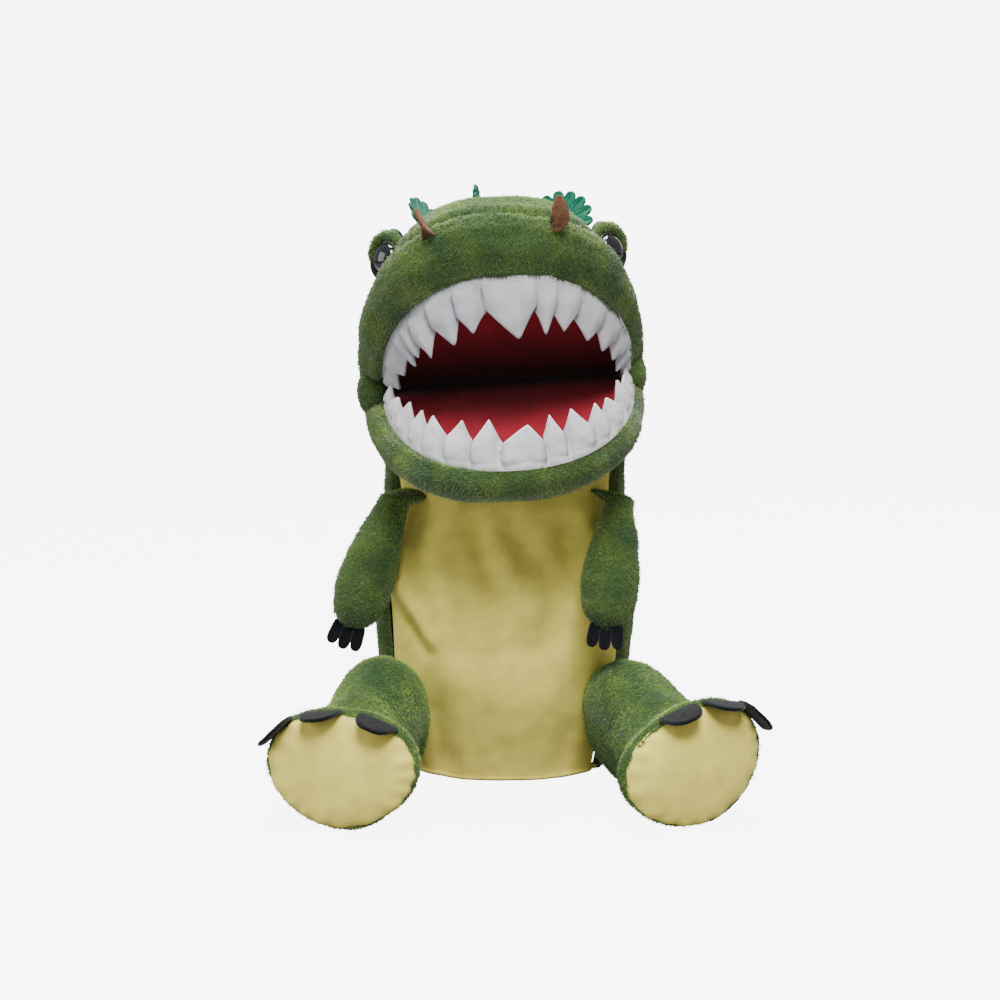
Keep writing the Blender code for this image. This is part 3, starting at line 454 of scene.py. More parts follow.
GREEN = material("plush_green_nap", pile_look((0.044, 0.086, 0.026), (0.250, 0.430, 0.105),
                                              (1.45, 1.25, 0.95), (0.55, 0.66, 0.74)))
YELLOW = material("velour_yellow", felt_look((0.800, 0.680, 0.135), 0.03, 1700.0, 0.10))
# painted shade: the palate felt goes near black where its tip value is low, towards the mouth's crease
RED = material("palate_red_felt", felt_look((0.400, 0.010, 0.026), 0.12, depth=0.2, shaded=True))
# painted shade: the teeth felt darkens beside each pleat, and the upper row all over, where its tip value is
# low
WHITE = material("teeth_white_felt", felt_look((0.920, 0.910, 0.930), 0.07, 900.0, 0.6, pleated=True))
TEAL = material("crest_teal_felt", felt_look((0.006, 0.120, 0.065), 0.35, 1100.0, 0.6))
BROWN = material("horn_brown_felt", felt_look((0.105, 0.045, 0.020), 0.45, 1100.0, 0.7))
BLACK = material("claw_black_felt", felt_look((0.0025, 0.003, 0.005), 0.35, 1300.0, 0.6))
EYE = material("eye_black_gloss", gloss_look((0.006, 0.006, 0.008)), 0.04)
RING = material("eye_ring_grey", gloss_look((0.230, 0.240, 0.250)), 0.15)
WASHER = material("washer_plastic", gloss_look((0.800, 0.800, 0.780)), 0.4)
LINING = material("lining_weave", weave_look((0.300, 0.320, 0.300)), 0.9)
BOARD = material("board_grey_card", felt_look((0.350, 0.330, 0.300), 0.1), 0.8)
LABEL = material("label_weave", weave_look((0.850, 0.850, 0.850)), 0.8)


def finish_piece(item, look, body=None, across=None, replaced=()):
    """Gives a piece its material and slot, and makes it ride with a CAD body or, when across two bodies,
    applies its placement to its mesh.
    """
    item.data.materials.clear()
    item.data.materials.append(look)
    if across is not None:
        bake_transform(item)
    else:
        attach(item, body)
    if replaced:
        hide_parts(*replaced)
    return item


def thickened(item, thickness, levels=0):
    """Gives a one-sided sheet its thickness, half each way, for good."""
    wall = item.modifiers.new("thickness", "SOLIDIFY")
    wall.thickness = thickness
    wall.offset = 0.0
    if levels:
        smooth = item.modifiers.new("smooth", "SUBSURF")
        smooth.levels = smooth.render_levels = levels
    graph = bpy.context.evaluated_depsgraph_get()
    mesh = bpy.data.meshes.new_from_object(item.evaluated_get(graph))
    item.modifiers.clear()
    item.data = mesh
    return item


# ------------------------------------------------------------ head

def head_points(angle, t):
    """Head cover in the upper jaw's frame; t runs from the lip (0) to the crown (1)."""
    h, w, f, b = HEAD_HEIGHT, HEAD_HALF_WIDTH, HEAD_FRONT, HEAD_BACK
    height = h * curve([0.0, 0.11, 0.25, 0.43, 0.63, 0.81, 0.94, 1.0], t)
    width = w * curve([0.90, 0.985, 0.975, 0.865, 0.745, 0.625, 0.43, 0.17], t)
    front = f * curve([0.88, 0.96, 1.0, 0.975, 0.89, 0.74, 0.52, 0.25], t)
    back = b * curve([0.90, 0.97, 1.0, 0.98, 0.88, 0.66, 0.36, 0.02], t)
    x, y = egg(angle, width, front, back, 2.25 + 0.9 * t * t)
    return np.stack([x, y, height], -1)


def head_frame(angle, t):
    """(point, outward normal) on the head cover, in the row frame."""
    step = 0.01
    a, t = np.array(angle, float), np.array(t, float)
    across = head_points(a + step, t) - head_points(a - step, t)
    along = head_points(a, t + step) - head_points(a, t - step)
    normal = unit(np.cross(across, along))
    return placed(head_points(a, t), UPPER), normal @ UPPER.T


def facing(point, normal, up):
    """4x4 matrix whose Z is the normal and whose Y is as near as can be to up."""
    z = Vector(normal).normalized()
    x = Vector(up).cross(z).normalized()
    y = z.cross(x)
    return Matrix.Translation(Vector(point)) @ Matrix((x, y, z)).transposed().to_4x4()


def mouth_points(angle, half_width, length, back=0.002):
    """Outline of the open mouth, a little off the middle of the head."""
    x, y = egg(angle, half_width * MOUTH_SHRINK, length - back, 0.0, 2.2)
    return np.stack([x + MOUTH_SHIFT, y - back, np.zeros_like(x)], -1)


angles = circle(150)
levels = np.concatenate([np.linspace(0, 0.9, 46), [0.925, 0.95, 0.975, 1.0]])
T, A = np.meshgrid(levels, angles, indexing="ij")
shell = head_points(A, T)
front_half = np.sin(angles) < 0
front_lip = mouth_points(angles, MOUTH_HALF_WIDTH - LIP_INSET, UPPER_MOUTH_LENGTH - LIP_INSET)
lip = np.where(front_half[:, None], front_lip, shell[0] * np.array([0.86, 0.86, 1.0]))
lip[:, 2] = np.where(front_half, 0.0012, 0.004)
rolled = [lip, lip * 0.72 + shell[0] * 0.28 - np.array([0, 0, 0.0016]),
          lip * 0.3 + shell[0] * 0.7 - np.array([0, 0, 0.0022])]
crown = shell[-1].mean(0) + np.array([0, 0, 0.0010])
top = [crown + (shell[-1] - crown) * k for k in (0.7, 0.4, 0.15, 0.0)]
head = Grid(placed(np.concatenate([np.stack(rolled), shell, np.stack(top)]), UPPER), True)
head_t = np.concatenate([[-0.03, -0.02, -0.01], levels, [1.01, 1.02, 1.03, 1.04]])
TT, AA = np.meshgrid(head_t, np.degrees(angles), indexing="ij")
AA = np.where(AA > 180, AA - 360, AA)


def groove(distance, width, depth):
    """A seam or fold: a narrow dip with a soft shoulder each side."""
    shoulder = 0.35 * depth * np.exp(-((np.abs(distance) - 2.1 * width) / width) ** 2)
    return -depth * np.exp(-(distance / width) ** 2) + shoulder


across_front = smoothstep(-152, -138, AA) * (1 - smoothstep(-42, -28, AA))
relief = across_front * groove((TT - 0.405 - 0.012 * np.sin(AA / 9)) * 0.13, 0.0030, 0.0024)
relief += 0.0010 * across_front * groove((TT - 0.22) * 0.13, 0.006, 1.0) * 0.6
snout = smoothstep(0.04, 0.1, TT) * (1 - smoothstep(0.36, 0.42, TT))
relief += snout * groove((AA + 112) * 0.0021, 0.0016, 0.0016)
for seam in (-28, -152):
    relief += smoothstep(0.45, 0.5, TT) * groove((AA - seam) * 0.0012, 0.0016, 0.0012)
relief += groove(AA - 90, 1.1, 0.0014) * smoothstep(0.1, 0.2, TT) * (1 - smoothstep(0.9, 1.0, TT))
head = head.pushed(relief * (1 - smoothstep(1.0, 1.02, TT)) - 0.0020).soft(0.0011, 3)


def head_flow(root, normal):
    """Nap that runs back and down the sides and down the face."""
    local = (root - HINGE) @ UPPER
    face = smoothstep(-0.05, -0.11, local[:, 1])[:, None]
    back_and_down = np.array([0.0, 0.55, -0.8])
    return back_and_down * (1 - face) + np.array([0.0, -0.2, -1.0]) * face


def off_mouth(centre):
    """Nap stays off the rolled-in lip."""
    local = (centre - HINGE) @ UPPER
    return (local[..., 2] > -0.0012).astype(float)


head_skin = covered("head_plush", head, pile(head, NAP["head"], head_flow, 11, keep=off_mouth))
finish_piece(head_skin, GREEN, "head", replaced=("head_cover", "head_filling"))

# ------------------------------------------------------------ jaw

def jaw_points(angle, t):
    depth = JAW_DEPTH * curve([0.0, 0.22, 0.50, 0.78, 0.95, 1.0], t)
    width = JAW_HALF_WIDTH * curve([0.93, 1.0, 0.985, 0.86, 0.62, 0.26], t)
    front = JAW_FRONT * curve([0.955, 1.0, 0.985, 0.89, 0.71, 0.42], t)
    x, y = egg(angle, width, front, 0.0, 2.2)
    return np.stack([x, y - 0.001, -depth], -1)


arc = -math.pi * np.linspace(0, 1, 110)
jaw_levels = np.linspace(0, 1, 26)
JT, JA = np.meshgrid(jaw_levels, arc, indexing="ij")
bowl = jaw_points(JA, JT)
inner = mouth_points(arc, MOUTH_HALF_WIDTH - LIP_INSET, LOWER_MOUTH_LENGTH - LIP_INSET)
rim = [inner - np.array([0, 0, 0.0012]), inner * 0.7 + bowl[0] * 0.3 + np.array([0, 0, 0.0004]),
       inner * 0.3 + bowl[0] * 0.7 + np.array([0, 0, 0.0010])]
keel = [bowl[-1] * np.array([k, 0.4 + 0.6 * k, 1.0]) - np.array([0, 0, 0.0016 * (1 - k)])
        for k in (0.6, 0.25, 0.0)]
bowl = np.concatenate([np.stack(rim), bowl, np.stack(keel)])


def carried_back(column, steps):
    """An end of the jaw carried on behind the hinge, a little narrower at each step."""
    return np.concatenate([column * np.array([1 - 0.10 * step, 0.0, 1.0]) + np.array([0, 0.015 * step, 0])
                           for step in steps], 1)


bowl = np.concatenate([carried_back(bowl[:, :1], (1.0, 0.66, 0.33)), bowl,
                       carried_back(bowl[:, -1:], (0.33, 0.66, 1.0))], 1)
jaw = Grid(placed(bowl, LOWER), False).pushed(-0.0020).soft(0.0010, 9)


def jaw_flow(root, normal):
    """Nap that runs out, back and down."""
    x = root[:, 0]
    return np.stack([np.sign(x - HINGE[0]) * 0.5, 0.35 + 0 * x, -0.75 + 0 * x], -1)


jaw_skin = covered("jaw_plush", jaw, pile(jaw, NAP["jaw"], jaw_flow, 12))
back_of_jaw, front_of_jaw = (tuple(HINGE + LOWER[:, 1] * d) for d in (0.012, -0.010))
finish_piece(jaw_skin, GREEN, across=("head", "jaw", back_of_jaw, front_of_jaw),
             replaced=("jaw_cover", "jaw_filling"))

for side, tag in ((1, "left"), (-1, "right")):
    centre = HINGE + MOUTH @ np.array([side * 0.0765, 0.004, 0.0])
    RR, QQ = np.meshgrid(np.linspace(0.02, math.pi - 0.02, 22), circle(40), indexing="ij")
    x, y, z = 0.0085 * np.sin(RR) * np.cos(QQ), 0.0160 * np.cos(RR), 0.0135 * np.sin(RR) * np.sin(QQ)
    ball = np.stack([x, y, z], -1)
    cheek = Grid(ball @ MOUTH.T + centre, True).soft(0.0006, 20)
    corner = covered("cheek_" + tag, cheek, pile(cheek, NAP["cheek"], DOWN, 13 + side))
    up_side, low_side = (tuple(HINGE + np.array([0, 0, d])) for d in (0.014, -0.014))
    finish_piece(corner, GREEN, across=("head", "jaw", up_side, low_side))

# ------------------------------------------------------------ mouth: one folded red felt, and the teeth

def outline_width(distance, half_width, length):
    share = np.clip((distance - 0.002) / (length - 0.002), 0, 1)
    return half_width * (1 - share ** 2.2) ** (1 / 2.2)


reach = np.concatenate([-LOWER_MOUTH_LENGTH * np.linspace(1, 0.05, 40) ** 0.8, np.linspace(-0.004, 0.004, 9),
                        UPPER_MOUTH_LENGTH * np.linspace(0.05, 1, 40) ** 0.8])
rows = []
for d in reach:
    length = UPPER_MOUTH_LENGTH if d > 0 else LOWER_MOUTH_LENGTH
    half = outline_width(min(abs(d), length - 1e-5), MOUTH_HALF_WIDTH + 0.0012, length)
    across = np.linspace(-1, 1, 50)[:, None] * half * MOUTH_SHRINK + MOUTH_SHIFT
    flat = np.concatenate([across, np.full_like(across, -abs(d)), np.zeros_like(across)], 1)
    upper_row, lower_row = placed(flat, UPPER), placed(flat, LOWER)
    k = smoothstep(-0.006, 0.006, d)
    row = upper_row * k + lower_row * (1 - k)
    row = row + np.array([0, 0.0045, 0.0]) * math.exp(-(d / 0.006) ** 2)
    rows.append(row)
felt = Grid(np.stack(rows), False)
# painted shade: tip values rise from 0 at the crease where the palates meet to 0.60 over 85 mm on the upper
# side, which faces down, and to 0.80 over 14 mm on the lower side, so the felt darkens towards the crease and
# the upper side stays darker
glow = np.where(reach > 0, 0.60 * smoothstep(0.0, 0.085, reach), 0.8 * smoothstep(0.0, 0.014, -reach))
palate = thickened(covered("mouth_felt", felt, glow=np.repeat(glow, felt.points.shape[1])), 0.0020)
up_side, low_side = (tuple(HINGE + np.array([0, -0.01, d])) for d in (0.008, -0.008))
finish_piece(palate, RED, across=("head", "jaw", up_side, low_side),
             replaced=("upper_palate", "lower_palate"))


def teeth(name, rotation, count, half_width, length, band, tooth, lean, sign, seed, big_middle, shade):
    """A felt strip round the mouth whose free edge is cut into pleated teeth; its tip values hold painted
    shade, scaled all over by shade.
    """
    rng = np.random.default_rng(seed)
    widths = 1.0 + 0.38 * rng.standard_normal(count).clip(-1, 1)
    heights = 1.0 + 0.22 * rng.standard_normal(count).clip(-1, 1)
    skews = 0.5 + 0.14 * rng.standard_normal(count).clip(-1, 1)
    middle = count // 2
    if big_middle:
        widths[middle], heights[middle] = 1.9, 1.35
    edges = np.concatenate([[0], np.cumsum(widths) / widths.sum()])
    centre_now = (edges[middle] + edges[middle + 1]) / 2
    edges = np.interp(edges, [0, centre_now, 1], [0, 0.5, 1])
    per, high_rows = 24, 16
    share, frac, which = [], [], []
    for i in range(count):
        local = np.linspace(0, 1, per, endpoint=False)
        past = (local - skews[i]) / (1 - skews[i])
        local = np.clip(local / skews[i] * 0.5, 0, 0.5) + np.clip(past * 0.5, 0, 0.5)
        share.append(edges[i] + (edges[i + 1] - edges[i]) * np.linspace(0, 1, per, endpoint=False))
        frac.append(local)
        which.append(np.full(per, i))
    share, frac, which = (np.concatenate(x) for x in (share, frac, which))
    angle = -math.pi * (0.025 + 0.95 * share)
    ramp = np.sin(math.pi * np.clip(share, 0.01, 0.99)) ** 0.45
    point = 1.0 - np.abs(2.0 * frac - 1.0)
    rise = ramp * band + point * tooth * heights[which] * (0.45 + 0.55 * ramp) + 0.0020
    base = mouth_points(angle, half_width, length)
    rise = np.minimum(rise, 0.0030 + 0.55 * -base[:, 1])
    inward = np.stack([-np.cos(angle), -np.sin(angle), 0 * angle], -1)
    local = (share - edges[which]) / (edges[which + 1] - edges[which])
    side_of_middle = np.where(share < 0.5, -1.0, 1.0)
    lap = np.where(side_of_middle > 0, 1 - local, local)
    pleat = (lap - 0.5) * np.where(which % 3 == 0, 0.75, 1.0) * 0.0042
    pleat += 0.0007 * np.exp(-((1 - lap) / 0.05) ** 2)
    rows = []
    for k in np.linspace(0, 1, high_rows):
        bend = lean * (0.35 + 0.9 * k)
        lift = k * rise
        puff = 0.0005 * math.sin(math.pi * min(k * 1.1, 1.0)) * np.sin(math.pi * frac) ** 0.8
        out = pleat * smoothstep(0.0, 0.35, k) - puff
        row = base + inward * (lift * np.sin(bend) + out)[:, None]
        row[:, 2] += sign * lift * np.cos(bend)
        rows.append(row)
    rows[0] = rows[0] - inward * 0.0020 - np.array([0, 0, sign * 0.0012])
    surface = Grid(placed(np.stack(rows), rotation), False)
    wave = 0.0006 * rough(surface.points, 0.010, seed) + 0.0003 * rough(surface.points, 0.004, seed + 1)
    surface = surface.pushed(wave)
    level = np.linspace(0, 1, high_rows)[:, None]
    # painted shade: the felt darkens along the crease where each tooth laps the next, from a little above the
    # strip's base up, and in a lighter band near the tooth's other edge
    tone = 1 - 0.75 * np.exp(-(lap / 0.10) ** 2) * smoothstep(0.0, 0.3, level)
    tone = tone * (1 - 0.35 * np.exp(-((1 - lap - 0.18) / 0.10) ** 2))
    return thickened(covered(name, surface, glow=(tone * shade).ravel()), 0.0013)


TEETH_IN_ROW, TEETH_OUT = 15, 0.0004
# painted shade: the upper row, which faces down, has its tip values scaled by 0.22, so its felt is greyer
# than the lower row's
upper_row = teeth("upper_teeth_felt", UPPER, TEETH_IN_ROW, MOUTH_HALF_WIDTH + TEETH_OUT,
                  UPPER_MOUTH_LENGTH + TEETH_OUT, 0.0140, 0.0130, math.radians(20), -1, 5, True, 0.22)
finish_piece(upper_row, WHITE, "head", replaced=("upper_teeth",))
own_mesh(upper_row)
lower_row = teeth("lower_teeth_felt", LOWER, TEETH_IN_ROW, MOUTH_HALF_WIDTH + TEETH_OUT,
                  LOWER_MOUTH_LENGTH + TEETH_OUT, 0.0115, 0.0125, math.radians(10), 1, 8, False, 1.0)
finish_piece(lower_row, WHITE, "jaw", replaced=("lower_teeth",))
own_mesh(lower_row)

# ------------------------------------------------------------ torso and neck

def torso_points(angle, t):
    w, f, b = 0.079, 0.057, 0.052
    width = curve([0.062, w * 0.94, w, w, 0.073], t)
    front = curve([0.050, f, f, f * 0.95, f * 0.78], t)
    back = curve([b, b, b, b * 0.96, b * 0.84], t)
    x, y = egg(angle, width, front, back, 2.3)
    slant = 0.016 * t * t * (1 - np.sin(angle)) / 2
    return np.stack([x, y, TORSO_HEIGHT * t - slant], -1) + MIDDLE


def neck_edge(angle):
    """Under the head's rim behind, behind the jaw in front."""
    rim = head_points(angle, 0 * angle)
    behind = placed(rim * np.array([0.965, 0.965, 1.0]) - np.array([0, 0, 0.0005]), UPPER)
    x = JAW_HALF_WIDTH * 0.93 * np.cos(angle)
    z = -JAW_DEPTH * 0.84 * np.abs(np.sin(angle)) ** 0.8 - 0.003
    front = placed(np.stack([x, 0.006 - 0.02 * np.abs(np.sin(angle)), z], -1), LOWER)
    return np.where((np.sin(angle) >= 0)[..., None], behind, front)


HEM_ROWS, TORSO_ROWS = 3, 56


def tube(angle_range, count):
    """Points of the torso and neck between two angles, from the hem to inside the head."""
    a = np.linspace(*angle_range, count)
    TA, AB = np.meshgrid(np.linspace(0, 1, TORSO_ROWS), a, indexing="ij")
    body = torso_points(AB, TA)
    hem = [body[0] * np.array([1, 1, 0]) + np.array([0, 0, 0.0012]) + (MIDDLE - body[0]) * np.array([k, k, 0])
           for k in (0.06, 0.03, 0.008)]
    edge, low_edge = neck_edge(a), body[-1]
    slope = body[-1] - body[-3]
    rise = []
    for f in np.linspace(0, 1, 15)[1:]:
        rise.append(low_edge * (1 - f) + edge * f + slope * 3.0 * f * (1 - f) ** 2)
    inside = [edge + (MIDDLE + np.array([0, -0.004, 0.214]) - edge) * k + np.array([0, 0, 0.010 * k ** 0.5])
              for k in (0.05, 0.12, 0.22)]
    return np.stack(hem + list(body) + rise + inside)


def line_dip(x, z, first, last, width, depth):
    """Fold along a line on the belly, from (x, z) to (x, z)."""
    (x0, z0), (x1, z1) = first, last
    dx, dz = x1 - x0, z1 - z0
    length = math.hypot(dx, dz)
    along = ((x - x0) * dx + (z - z0) * dz) / length
    aside = ((x - x0) * dz - (z - z0) * dx) / length
    over = np.maximum(np.maximum(-along, along - length), 0)
    return 1.45 * depth * np.exp(-(aside / (1.25 * width)) ** 2 - (over / (1.6 * width)) ** 2)


# (x, z) of each fold's two ends, its width and its depth
BELLY_FOLDS = (
    ((-0.018, 0.150), (-0.003, 0.108), 0.0060, -0.0032), ((0.004, 0.152), (0.025, 0.122), 0.0070, -0.0030),
    ((0.034, 0.148), (0.041, 0.118), 0.0060, -0.0026), ((0.030, 0.108), (0.025, 0.086), 0.0075, -0.0030),
    ((-0.037, 0.117), (-0.030, 0.072), 0.0100, 0.0030), ((-0.060, 0.114), (-0.044, 0.088), 0.0050, 0.0034),
    ((-0.057, 0.096), (-0.045, 0.080), 0.0032, -0.0026), ((0.000, 0.130), (0.012, 0.104), 0.0070, 0.0024),
    ((-0.043, 0.040), (-0.038, 0.012), 0.0070, -0.0022), ((0.044, 0.060), (0.038, 0.014), 0.0080, -0.0018),
    ((-0.020, 0.060), (0.020, 0.050), 0.0120, 0.0016), ((-0.030, 0.158), (-0.045, 0.140), 0.0080, 0.0028),
    ((0.045, 0.156), (0.058, 0.134), 0.0060, 0.0026), ((0.050, 0.100), (0.054, 0.076), 0.0060, 0.0026))


def belly_relief(points):
    x, z = points[..., 0] - MIDDLE[0], points[..., 2]
    total = 0.0010 * rough(points, 0.026, 31) + 0.0004 * rough(points, 0.010, 32)
    for fold in BELLY_FOLDS:
        total = total + line_dip(x, z, *fold)
    return total


start_belly, end_belly = -math.pi / 2 - BELLY_HALF_ANGLE, -math.pi / 2 + BELLY_HALF_ANGLE
NECK_PLANE = np.array([0.0, -0.244, 1.0])


def make_torso_side(tag, angle_range, count, look, relief, hair_for, replaced, neck_replaced):
    points = tube(angle_range, count)
    surface = Grid(points, False)
    edge = np.minimum(np.arange(count), np.arange(count)[::-1]) / 3.0
    tuck = -0.0022 * (1 - smoothstep(0, 1, edge))[None, :]
    surface = surface.pushed(relief(points) + tuck - 0.0016)
    cut = HEM_ROWS + TORSO_ROWS + 5
    pieces = (("torso_" + tag, surface.points[:cut + 1], ("torso", "neck"), (0.176, 0.192), replaced),
              ("neck_" + tag, surface.points[cut:], ("neck", "head"), (0.192, 0.212), neck_replaced))
    made = []
    for name, part, bodies, (low_plane, high_plane), nodes in pieces:
        grid = Grid(part, False)
        item = covered(name, grid, hair_for(grid, len(made)))
        normal = NECK_PLANE / np.linalg.norm(NECK_PLANE)
        ends = [tuple(MIDDLE + normal * plane / np.linalg.norm(NECK_PLANE))
                for plane in (low_plane, high_plane)]
        made.append(finish_piece(item, look, across=(*bodies, *ends), replaced=nodes))
    return made


def green_relief(points):
    return 0.0012 * rough(points, 0.030, 41) + 0.0005 * rough(points, 0.012, 42)


make_torso_side("back", (end_belly + SEAM, 2 * math.pi + start_belly - SEAM), 110, GREEN,
                green_relief, lambda grid, n: pile(grid, NAP["back"], DOWN, 50 + n),
                ("body_back",), ("neck_cover",))
make_torso_side("belly", (start_belly + SEAM, end_belly - SEAM), 70, YELLOW,
                belly_relief, lambda grid, n: None,
                ("belly_panel",), ("throat_panel",))

# ------------------------------------------------------------ limbs

def limb_grid(stops, sides, rows, roll, floor=None, start=None):
    """Rings of a limb along -Y, eased between stops of (forward, half width, half height, taper, lean)."""
    stops = np.array(stops, float)
    f = np.linspace(0, 1, rows)
    forward, half_width, half_height, taper, lean = (curve(stops[:, i], f)[:, None] for i in range(5))
    a = circle(sides)[None, :]
    x = half_width * np.cos(a) * (1 + taper * np.sin(a))
    z = half_height * np.sin(a)
    points = np.stack([x * math.cos(roll) + z * math.sin(roll), lean * z - forward,
                       z * math.cos(roll) - x * math.sin(roll)], -1)
    if floor is not None:
        lift = floor - points[..., 2].min(1)
        level = (start or 0) - points[..., 2].mean(1)
        share = smoothstep(0.28, 0.40, f)
        lift = lift * share + level * (1 - share) if start else lift
        points[..., 2] += lift[:, None]
    return points


def limb_end(points, rows=4, bulge=0.0):
    """Closes a limb's far end with shrinking rings."""
    last, before = points[-1], points[-2]
    centre = last.mean(0)
    ahead = unit(centre - before.mean(0))
    extra = [centre + (last - centre) * math.cos(k) + ahead * bulge * math.sin(k)
             for k in np.linspace(0, math.pi / 2, rows + 1)[1:]]
    return np.concatenate([points, np.stack(extra)])


def limb_root(points, offset, bulge, rows=6):
    """Carries a limb's near end on to its seam in the torso, then closes it with a round cap."""
    bend = np.asarray(offset, float)
    seam = [points[0] + bend * k for k in np.linspace(1, 0, rows + 1)[:-1]] if np.any(bend) else []
    end = seam[0] if seam else points[0]
    centre = end.mean(0)
    behind = unit(centre - points[1].mean(0))
    cap = [centre + (end - centre) * math.sin(k) + behind * bulge * math.cos(k)
           for k in np.linspace(0.02, math.pi / 2, 7)[:-1]]
    return np.concatenate([np.stack(cap + seam), points])


def spin(degrees_x, degrees_y, degrees_z=0.0):
    return np.array(turn(math.radians(degrees_x), math.radians(degrees_y), math.radians(degrees_z)))


def felt_leaf(name, outline, thickness, matrix, look, body, replaced, curl=0.0, ridge=0.0):
    """A flat felt piece with a soft edge: rings shrink from its outline to its middle line."""
    outline = np.asarray(outline, float)
    centre = outline.mean(0)
    rings = []
    for k in np.linspace(1, 0.0, 7):
        flat = centre + (outline - centre) * k
        aside = np.abs(flat[:, 0] / max(np.abs(outline[:, 0]).max(), 1e-6))
        z = curl * (flat[:, 1] ** 2) + ridge * (1 - aside)
        rings.append(np.concatenate([flat, z[:, None]], 1))
    world = moved(np.stack(rings), matrix)
    surface = Grid(world, True)
    surface = Grid(world + 0.00025 * rough(world, 0.003, len(name))[..., None] * surface.normals(), True)
    item = thickened(covered(name, surface), thickness, 1)
    return finish_piece(item, look, body, replaced=replaced)


def claw_outline(width, length, end=0.75):
    """Half-round claw; a lower end value squares its tip."""
    a = np.linspace(-math.pi / 2, math.pi / 2, 26)
    x = width / 2 * np.sign(np.sin(a)) * np.abs(np.sin(a)) ** 0.8
    y = length * np.abs(np.cos(a)) ** end
    base = np.stack([np.linspace(width / 2, -width / 2, 8)[1:-1], np.zeros(6)], -1)
    return np.concatenate([np.stack([x, y], -1), base])


def body_origin(x, y, z):
    return MIDDLE + np.array([x, y, z])


# half width, half depth and length of an arm
W, D, L = 0.0175, 0.0125, 0.0720
ARM_STOPS = [(-0.007, 0.52 * W, 0.72 * D, 0, 0), (0.004, 0.62 * W, 0.80 * D, 0, 0),
             (0.20 * L, 0.76 * W, 0.95 * D, 0, 0), (0.34 * L, 0.86 * W, D, 0, 0),
             (0.50 * L, 0.96 * W, D, 0, 0), (0.68 * L, W, D, 0, 0), (0.86 * L, 0.84 * W, 0.82 * D, 0, 0),
             (0.96 * L, 0.56 * W, 0.52 * D, 0, 0), (0.995 * L, 0.30 * W, 0.28 * D, 0, 0)]
for tag, side, swing, lean_out in (("left", 1, -30, 8), ("right", -1, -12, 20)):
    rotation = spin(swing, lean_out)
    shoulder = body_origin(side * 0.066, -0.040, 0.161)
    arm = limb_end(limb_grid(ARM_STOPS, 44, 44, 0.0), 4, 0.001)
    arm = np.stack([arm[..., 0], arm[..., 2], arm[..., 1]], -1) * np.array([1, -1, 1])
    seam_way = (-side * 0.012, 0.012, 0.001)
    arm = Grid(limb_root(placed(arm, rotation, shoulder), seam_way, 0.006), True)
    arm = arm.pushed(-0.0012).soft(0.0010, 70 + side)
    hair = pile(arm, NAP["arm"], steady(rotation @ np.array([0, 0, -1.0])), 71 + side)
    item = covered("arm_plush_" + tag, arm, hair)
    ends = [tuple(shoulder + rotation @ np.array([0, 0, -d])) for d in (-0.004, 0.020)]
    finish_piece(item, GREEN, across=("torso", "arm_" + tag, *ends),
                 replaced=("arm_cover_" + tag, "arm_filling_" + tag))
    for number, step in enumerate((-1, 0, 1), 1):
        tip = Matrix.Translation(Vector(shoulder)) @ Matrix(rotation.tolist()).to_4x4() @ Matrix.Translation(
            (step * 0.0058, -0.0008 * step, -L + 0.001 + 0.001 * abs(step))) @ Matrix.Rotation(
            math.radians(-7 * step), 4, "Y") @ Matrix.Rotation(math.radians(-90), 4, "X")
        felt_leaf(f"arm_claw_felt_{tag}_{number}", claw_outline(0.0072, 0.0145, 0.35), 0.0020, tip, BLACK,
                  "arm_" + tag, (f"arm_claw_{tag}_{number}",), ridge=0.0008)

# half width and half thickness of a leg, half width and half height of a foot, length, taper
LW, LT, FW, FH, LL, TAPER = 0.0290, 0.0400, 0.0440, 0.0310, 0.0960, 0.12
LEG_STOPS = [(-0.10 * LL, 0.50 * LW, 0.60 * LT, 0, 0), (0.03 * LL, 0.72 * LW, 0.76 * LT, 0, 0),
             (0.18 * LL, 0.93 * LW, 0.93 * LT, 0, 0), (0.33 * LL, LW, LT, 0, 0),
             (0.48 * LL, LW, 0.93 * LT, 0, 0), (0.62 * LL, 1.0 * LW, 0.84 * LT, 0.15 * TAPER, 0),
             (0.74 * LL, 1.05 * LW, 0.80 * LT, 0.4 * TAPER, 0.02),
             (0.85 * LL, 0.90 * FW, 0.98 * FH, 0.7 * TAPER, 0.06),
             (0.94 * LL, 0.995 * FW, 1.03 * FH, TAPER, 0.11),
             (LL, 0.97 * FW, 0.98 * FH, TAPER, 0.17)]
